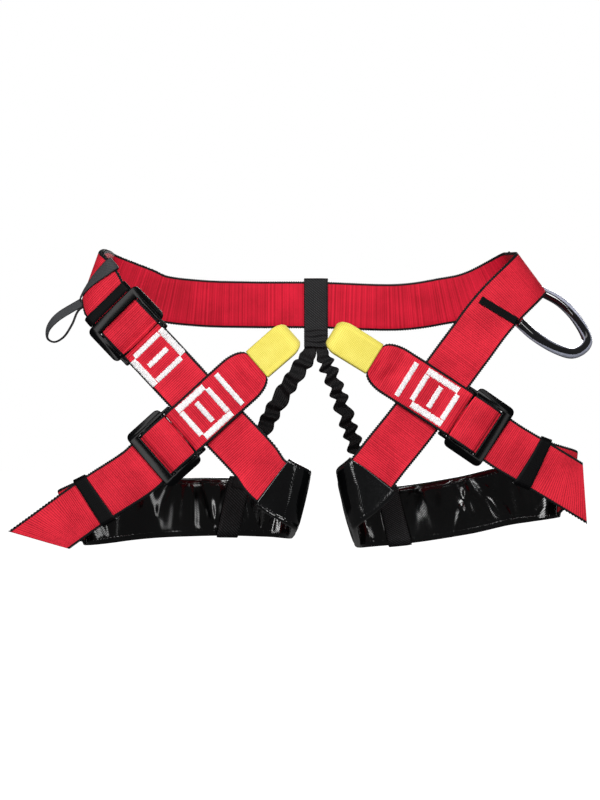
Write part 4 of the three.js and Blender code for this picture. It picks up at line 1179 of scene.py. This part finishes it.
def gear_loop():
    """Round tube that doesn't twist; its finish follows which side faces the inside of the bend."""
    g = GEAR_LOOP
    s, points, heading = sweep(GEAR_LOOP_ROWS, g.rows)
    normals = [np.cross(heading[0], (0, 0, 1.0))]
    for tangent in heading:
        normals.append(unit(normals[-1] - tangent * (normals[-1] @ tangent)))
    normals = np.array(normals[1:])
    sides = np.cross(heading, normals)
    angle = np.linspace(0, 2 * math.pi, g.columns, endpoint=False)
    ring = np.cos(angle)[:, None] * normals[:, None] + np.sin(angle)[:, None] * sides[:, None]
    inward = unit((points.mean(axis=0) - points) * (1, 0, 1))
    facing = np.einsum("ijk,ik->ij", ring, inward)
    cloth = s[:, None], angle * g.radius, facing
    tube = points[:, None] + ring * g.radius
    new_piece("gear_loop_tube", tube, rod_faces(g.rows, g.columns), "tube_black", cloth, node="gear_loop")


def gear_tapes():
    t = GEAR_TAPE
    line = StrapLine(GEAR_TAPE_ROWS)
    seat = waist_line.near(("back", *WAIST_BACK)) - turns["hip_right"].length * t.rear_share
    half = WEB_WIDTH / 2
    for end, place, start, stop in (
        ("front", line.place, 0, line.length),
        ("rear", lambda s, across, up: waist_line.place(seat + across, s, up), -half, half),
    ):
        path = Path(place)
        path.run(start, stop, WEB_THICK + GAP + t.thick / 2)
        name = f"gear_loop_tape_{end}"
        strap(
            name + "_web", "webbing_black", path, t.width, t.thick, name, FINE_PICOT, look="band_black",
        )


def accessory_loop():
    a = ACCESSORY
    room, lift = round_both(a.slack)
    lift += HIP_DROP
    seat = waist_line.length - a.behind
    band(
        "accessory_loop_band", "tape_grey", waist_line, seat, lift, room, a.width, a.thick, a.lean,
        "accessory_loop",
    )
    edge = (room[0] + a.thick) / 2
    start = waist_line.place(seat + a.lean * edge, edge, lift)
    s, points, heading = sweep(np.array(ACCESSORY_ROWS) + start, a.rows)
    turned = math.radians(a.twist) * smooth(s / s[-1], a.twist_from, a.twist_to)[:, None]
    level = unit(np.cross((0, 1.0, 0), heading))
    across = level * np.cos(turned) + np.cross(heading, level) * np.sin(turned)
    square = np.cross(across, heading)
    section = stadium(a.width, a.thick, *TAPE_POINTS)
    beside = section[:, 0]
    strand = points[:, None] + across[:, None] * section[:, :1] + square[:, None] * section[:, 1:]
    cloth = s[:, None], beside, a.width / 2 - np.abs(beside)
    new_piece("accessory_loop_strand", strand, rod_faces(a.rows, len(section)), "tape_grey", cloth)


class Threads:
    """Satin stitches laid on a strap's upper face."""

    def __init__(self, line, lift, seed):
        self.line = line
        self.lift = lift
        self.rng = random.Random(seed)
        self.points = []
        self.faces = []

    def stitch(self, first, last):
        """One thread from hole to hole, both as (s, across)."""
        first, last = np.array(first), np.array(last)
        ahead = unit(last - first)
        beside = np.array([-ahead[1], ahead[0]])
        base = len(self.points)
        for t in np.linspace(0, 1, THREAD.rings):
            crown = THREAD.crown * math.sqrt(max(0, 1 - (2 * t - 1) ** THREAD.crown_power))
            centre = mix(first, last, t)
            for angle in np.linspace(0, 2 * math.pi, THREAD.sides, endpoint=False):
                at = centre + beside * THREAD.radius * math.cos(angle)
                self.points.append((at[0], at[1], crown + THREAD.radius * math.sin(angle)))
        self.faces += [tuple(base + k for k in face) for face in rod_faces(THREAD.rings, THREAD.sides)]

    def satin(self, first, last, width):
        """A dense row of threads across the way from first to last."""
        first, last = np.array(first, float), np.array(last, float)
        length = np.linalg.norm(last - first)
        ahead = (last - first) / length
        beside = np.array([-ahead[1], ahead[0]]) * width / 2
        count = int(length / THREAD.pitch)
        for i in range(count + 1):
            at = first + ahead * (length * i / count)
            reach = self.rng.uniform(*THREAD.reach)
            slip = ahead * self.rng.uniform(-THREAD.slip, THREAD.slip)
            self.stitch(at - beside * reach + slip, at + beside * reach - slip)

    def bar(self, s, half):
        """A satin row straight across the strap."""
        self.satin((s, -half), (s, half), THREAD.cross)

    def piece(self, name):
        s, across, up = np.array(self.points).T
        height = np.array([self.lift(v) for v in s])
        points = self.line.place(s, across, height + WEB_THICK / 2 + up)
        new_piece(name, points, self.faces, "webbing_red", look="thread_white")


def stitch_strap(name):
    box = STITCHING[name]
    line = leg_lines["leg_left"] if name == "cross" else tie_lines[name]
    threads = Threads(line, cross_lift if name == "cross" else EyeShape(line).raised, box.seed)
    low, high, half = box.middle - box.along, box.middle + box.along, box.across
    step = THREAD.side * THREAD.step
    for side in (-1, 1):
        offset = step * 0.5 * side
        threads.satin((low + offset, side * half), (high + offset, side * half), THREAD.side)
    for s, side in ((low, 1), (high, -1)):
        threads.bar(s, half - step * THREAD.inset)
        link = (s, side * (half - step * THREAD.link_from))
        threads.stitch(link, (s + side * step, side * (half - step * THREAD.link_to)))
    threads.bar(box.middle, box.bar)
    if box.tack:
        threads.bar(*box.tack)
    threads.piece(f"stitching_{name}")


waist_belt()
cross_strap()
for side in PADS:
    leg_strap(side)
    tie_in_strap(side)
    eye_sleeve(side)
    leg_pad(side)
    pad_loop(side)
    elastic_riser(side)
for name in KEEPERS:
    keeper(name)
for name in ADJUSTERS:
    buckle(name)
back_strap()
gear_loop()
gear_tapes()
accessory_loop()
for name in STITCHING:
    stitch_strap(name)


# Camera straight in front, as the photograph was taken, for a 600 by 800 frame
CAMERA = Sizes(place=(-15.4, -1500, -91.6), focal_px=1634, tall_px=800, sensor=36)
lens = bpy.data.cameras.new("camera")
lens.sensor_width = CAMERA.sensor
lens.lens = CAMERA.focal_px / CAMERA.tall_px * CAMERA.sensor
camera = put("camera", lens)
camera.location = [value * MM for value in CAMERA.place]
camera.rotation_euler = (math.pi / 2, 0, 0)
bpy.context.scene.camera = camera

# Soft lights, in metres: place, width and height, watts
AIM = Vector((0, 0, -0.09))
LIGHTS = {
    "key": ((0.1, -1.4, 0.5), (0.8, 0.5), 18.5),
    "strip_left": ((-0.9, -1.39, 0.1), (0.28, 1.3), 12),
    "strip_right": ((0.9, -1.39, 0.15), (0.2, 1.3), 5),
    "top": ((-0.1, -0.1, 1.5), (1.2, 0.5), 3),
    "back": ((0.3, 1.5, 0.5), (1.0, 1.0), 24),
}
for name, (place, size, watts) in LIGHTS.items():
    lamp = bpy.data.lights.new(name, "AREA")
    lamp.shape = "RECTANGLE"
    lamp.size, lamp.size_y = size
    lamp.energy = watts
    holder = put(name, lamp)
    holder.location = place
    holder.rotation_euler = (AIM - Vector(place)).to_track_quat("-Z", "Y").to_euler()

# Surroundings and floor are white to look at; the surroundings also give a weak, even light
WHITE = (1, 1, 1, 1)
EVEN_LIGHT = 0.09
world = bpy.data.worlds.new("studio")
world.use_nodes = True
sky = world.node_tree
even = sky.nodes["Background"]
even.inputs["Color"].default_value = WHITE
even.inputs["Strength"].default_value = EVEN_LIGHT
seen = sky.nodes.new("ShaderNodeBackground")
seen.inputs["Color"].default_value = WHITE
ray = sky.nodes.new("ShaderNodeLightPath")
choose = sky.nodes.new("ShaderNodeMixShader")
sky.links.new(ray.outputs["Is Camera Ray"], choose.inputs["Fac"])
sky.links.new(even.outputs["Background"], choose.inputs[1])
sky.links.new(seen.outputs["Background"], choose.inputs[2])
sky.links.new(choose.outputs["Shader"], sky.nodes["World Output"].inputs["Surface"])
bpy.context.scene.world = world
bpy.context.scene.view_settings.view_transform = "Standard"

FLOOR = Sizes(drop=-0.5, radius=8, corners=96)
corners = [2 * math.pi * k / FLOOR.corners for k in range(FLOOR.corners)]
disc = bpy.data.meshes.new("floor")
disc.from_pydata(
    [(FLOOR.radius * math.cos(a), FLOOR.radius * math.sin(a), FLOOR.drop) for a in corners], [],
    [tuple(range(FLOOR.corners))],
)
pale = Finish("pale_floor", {
    "Roughness": 0.9, "Specular IOR Level": 0.1, "Emission Color": WHITE, "Emission Strength": 1,
})
pale.set(Base_Color=pale.blend(pale.noise(3), (0.7, 0.7, 0.7, 1), (0.73, 0.73, 0.73, 1)))
disc.materials.append(pale.material)
floor = put("floor", disc)
floor.visible_diffuse = False
floor.visible_glossy = False
floor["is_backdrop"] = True

boxes = {"solid": solid_box, "visual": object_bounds()}
{key: [[float(v) for v in corner] for corner in box] for key, box in boxes.items()}
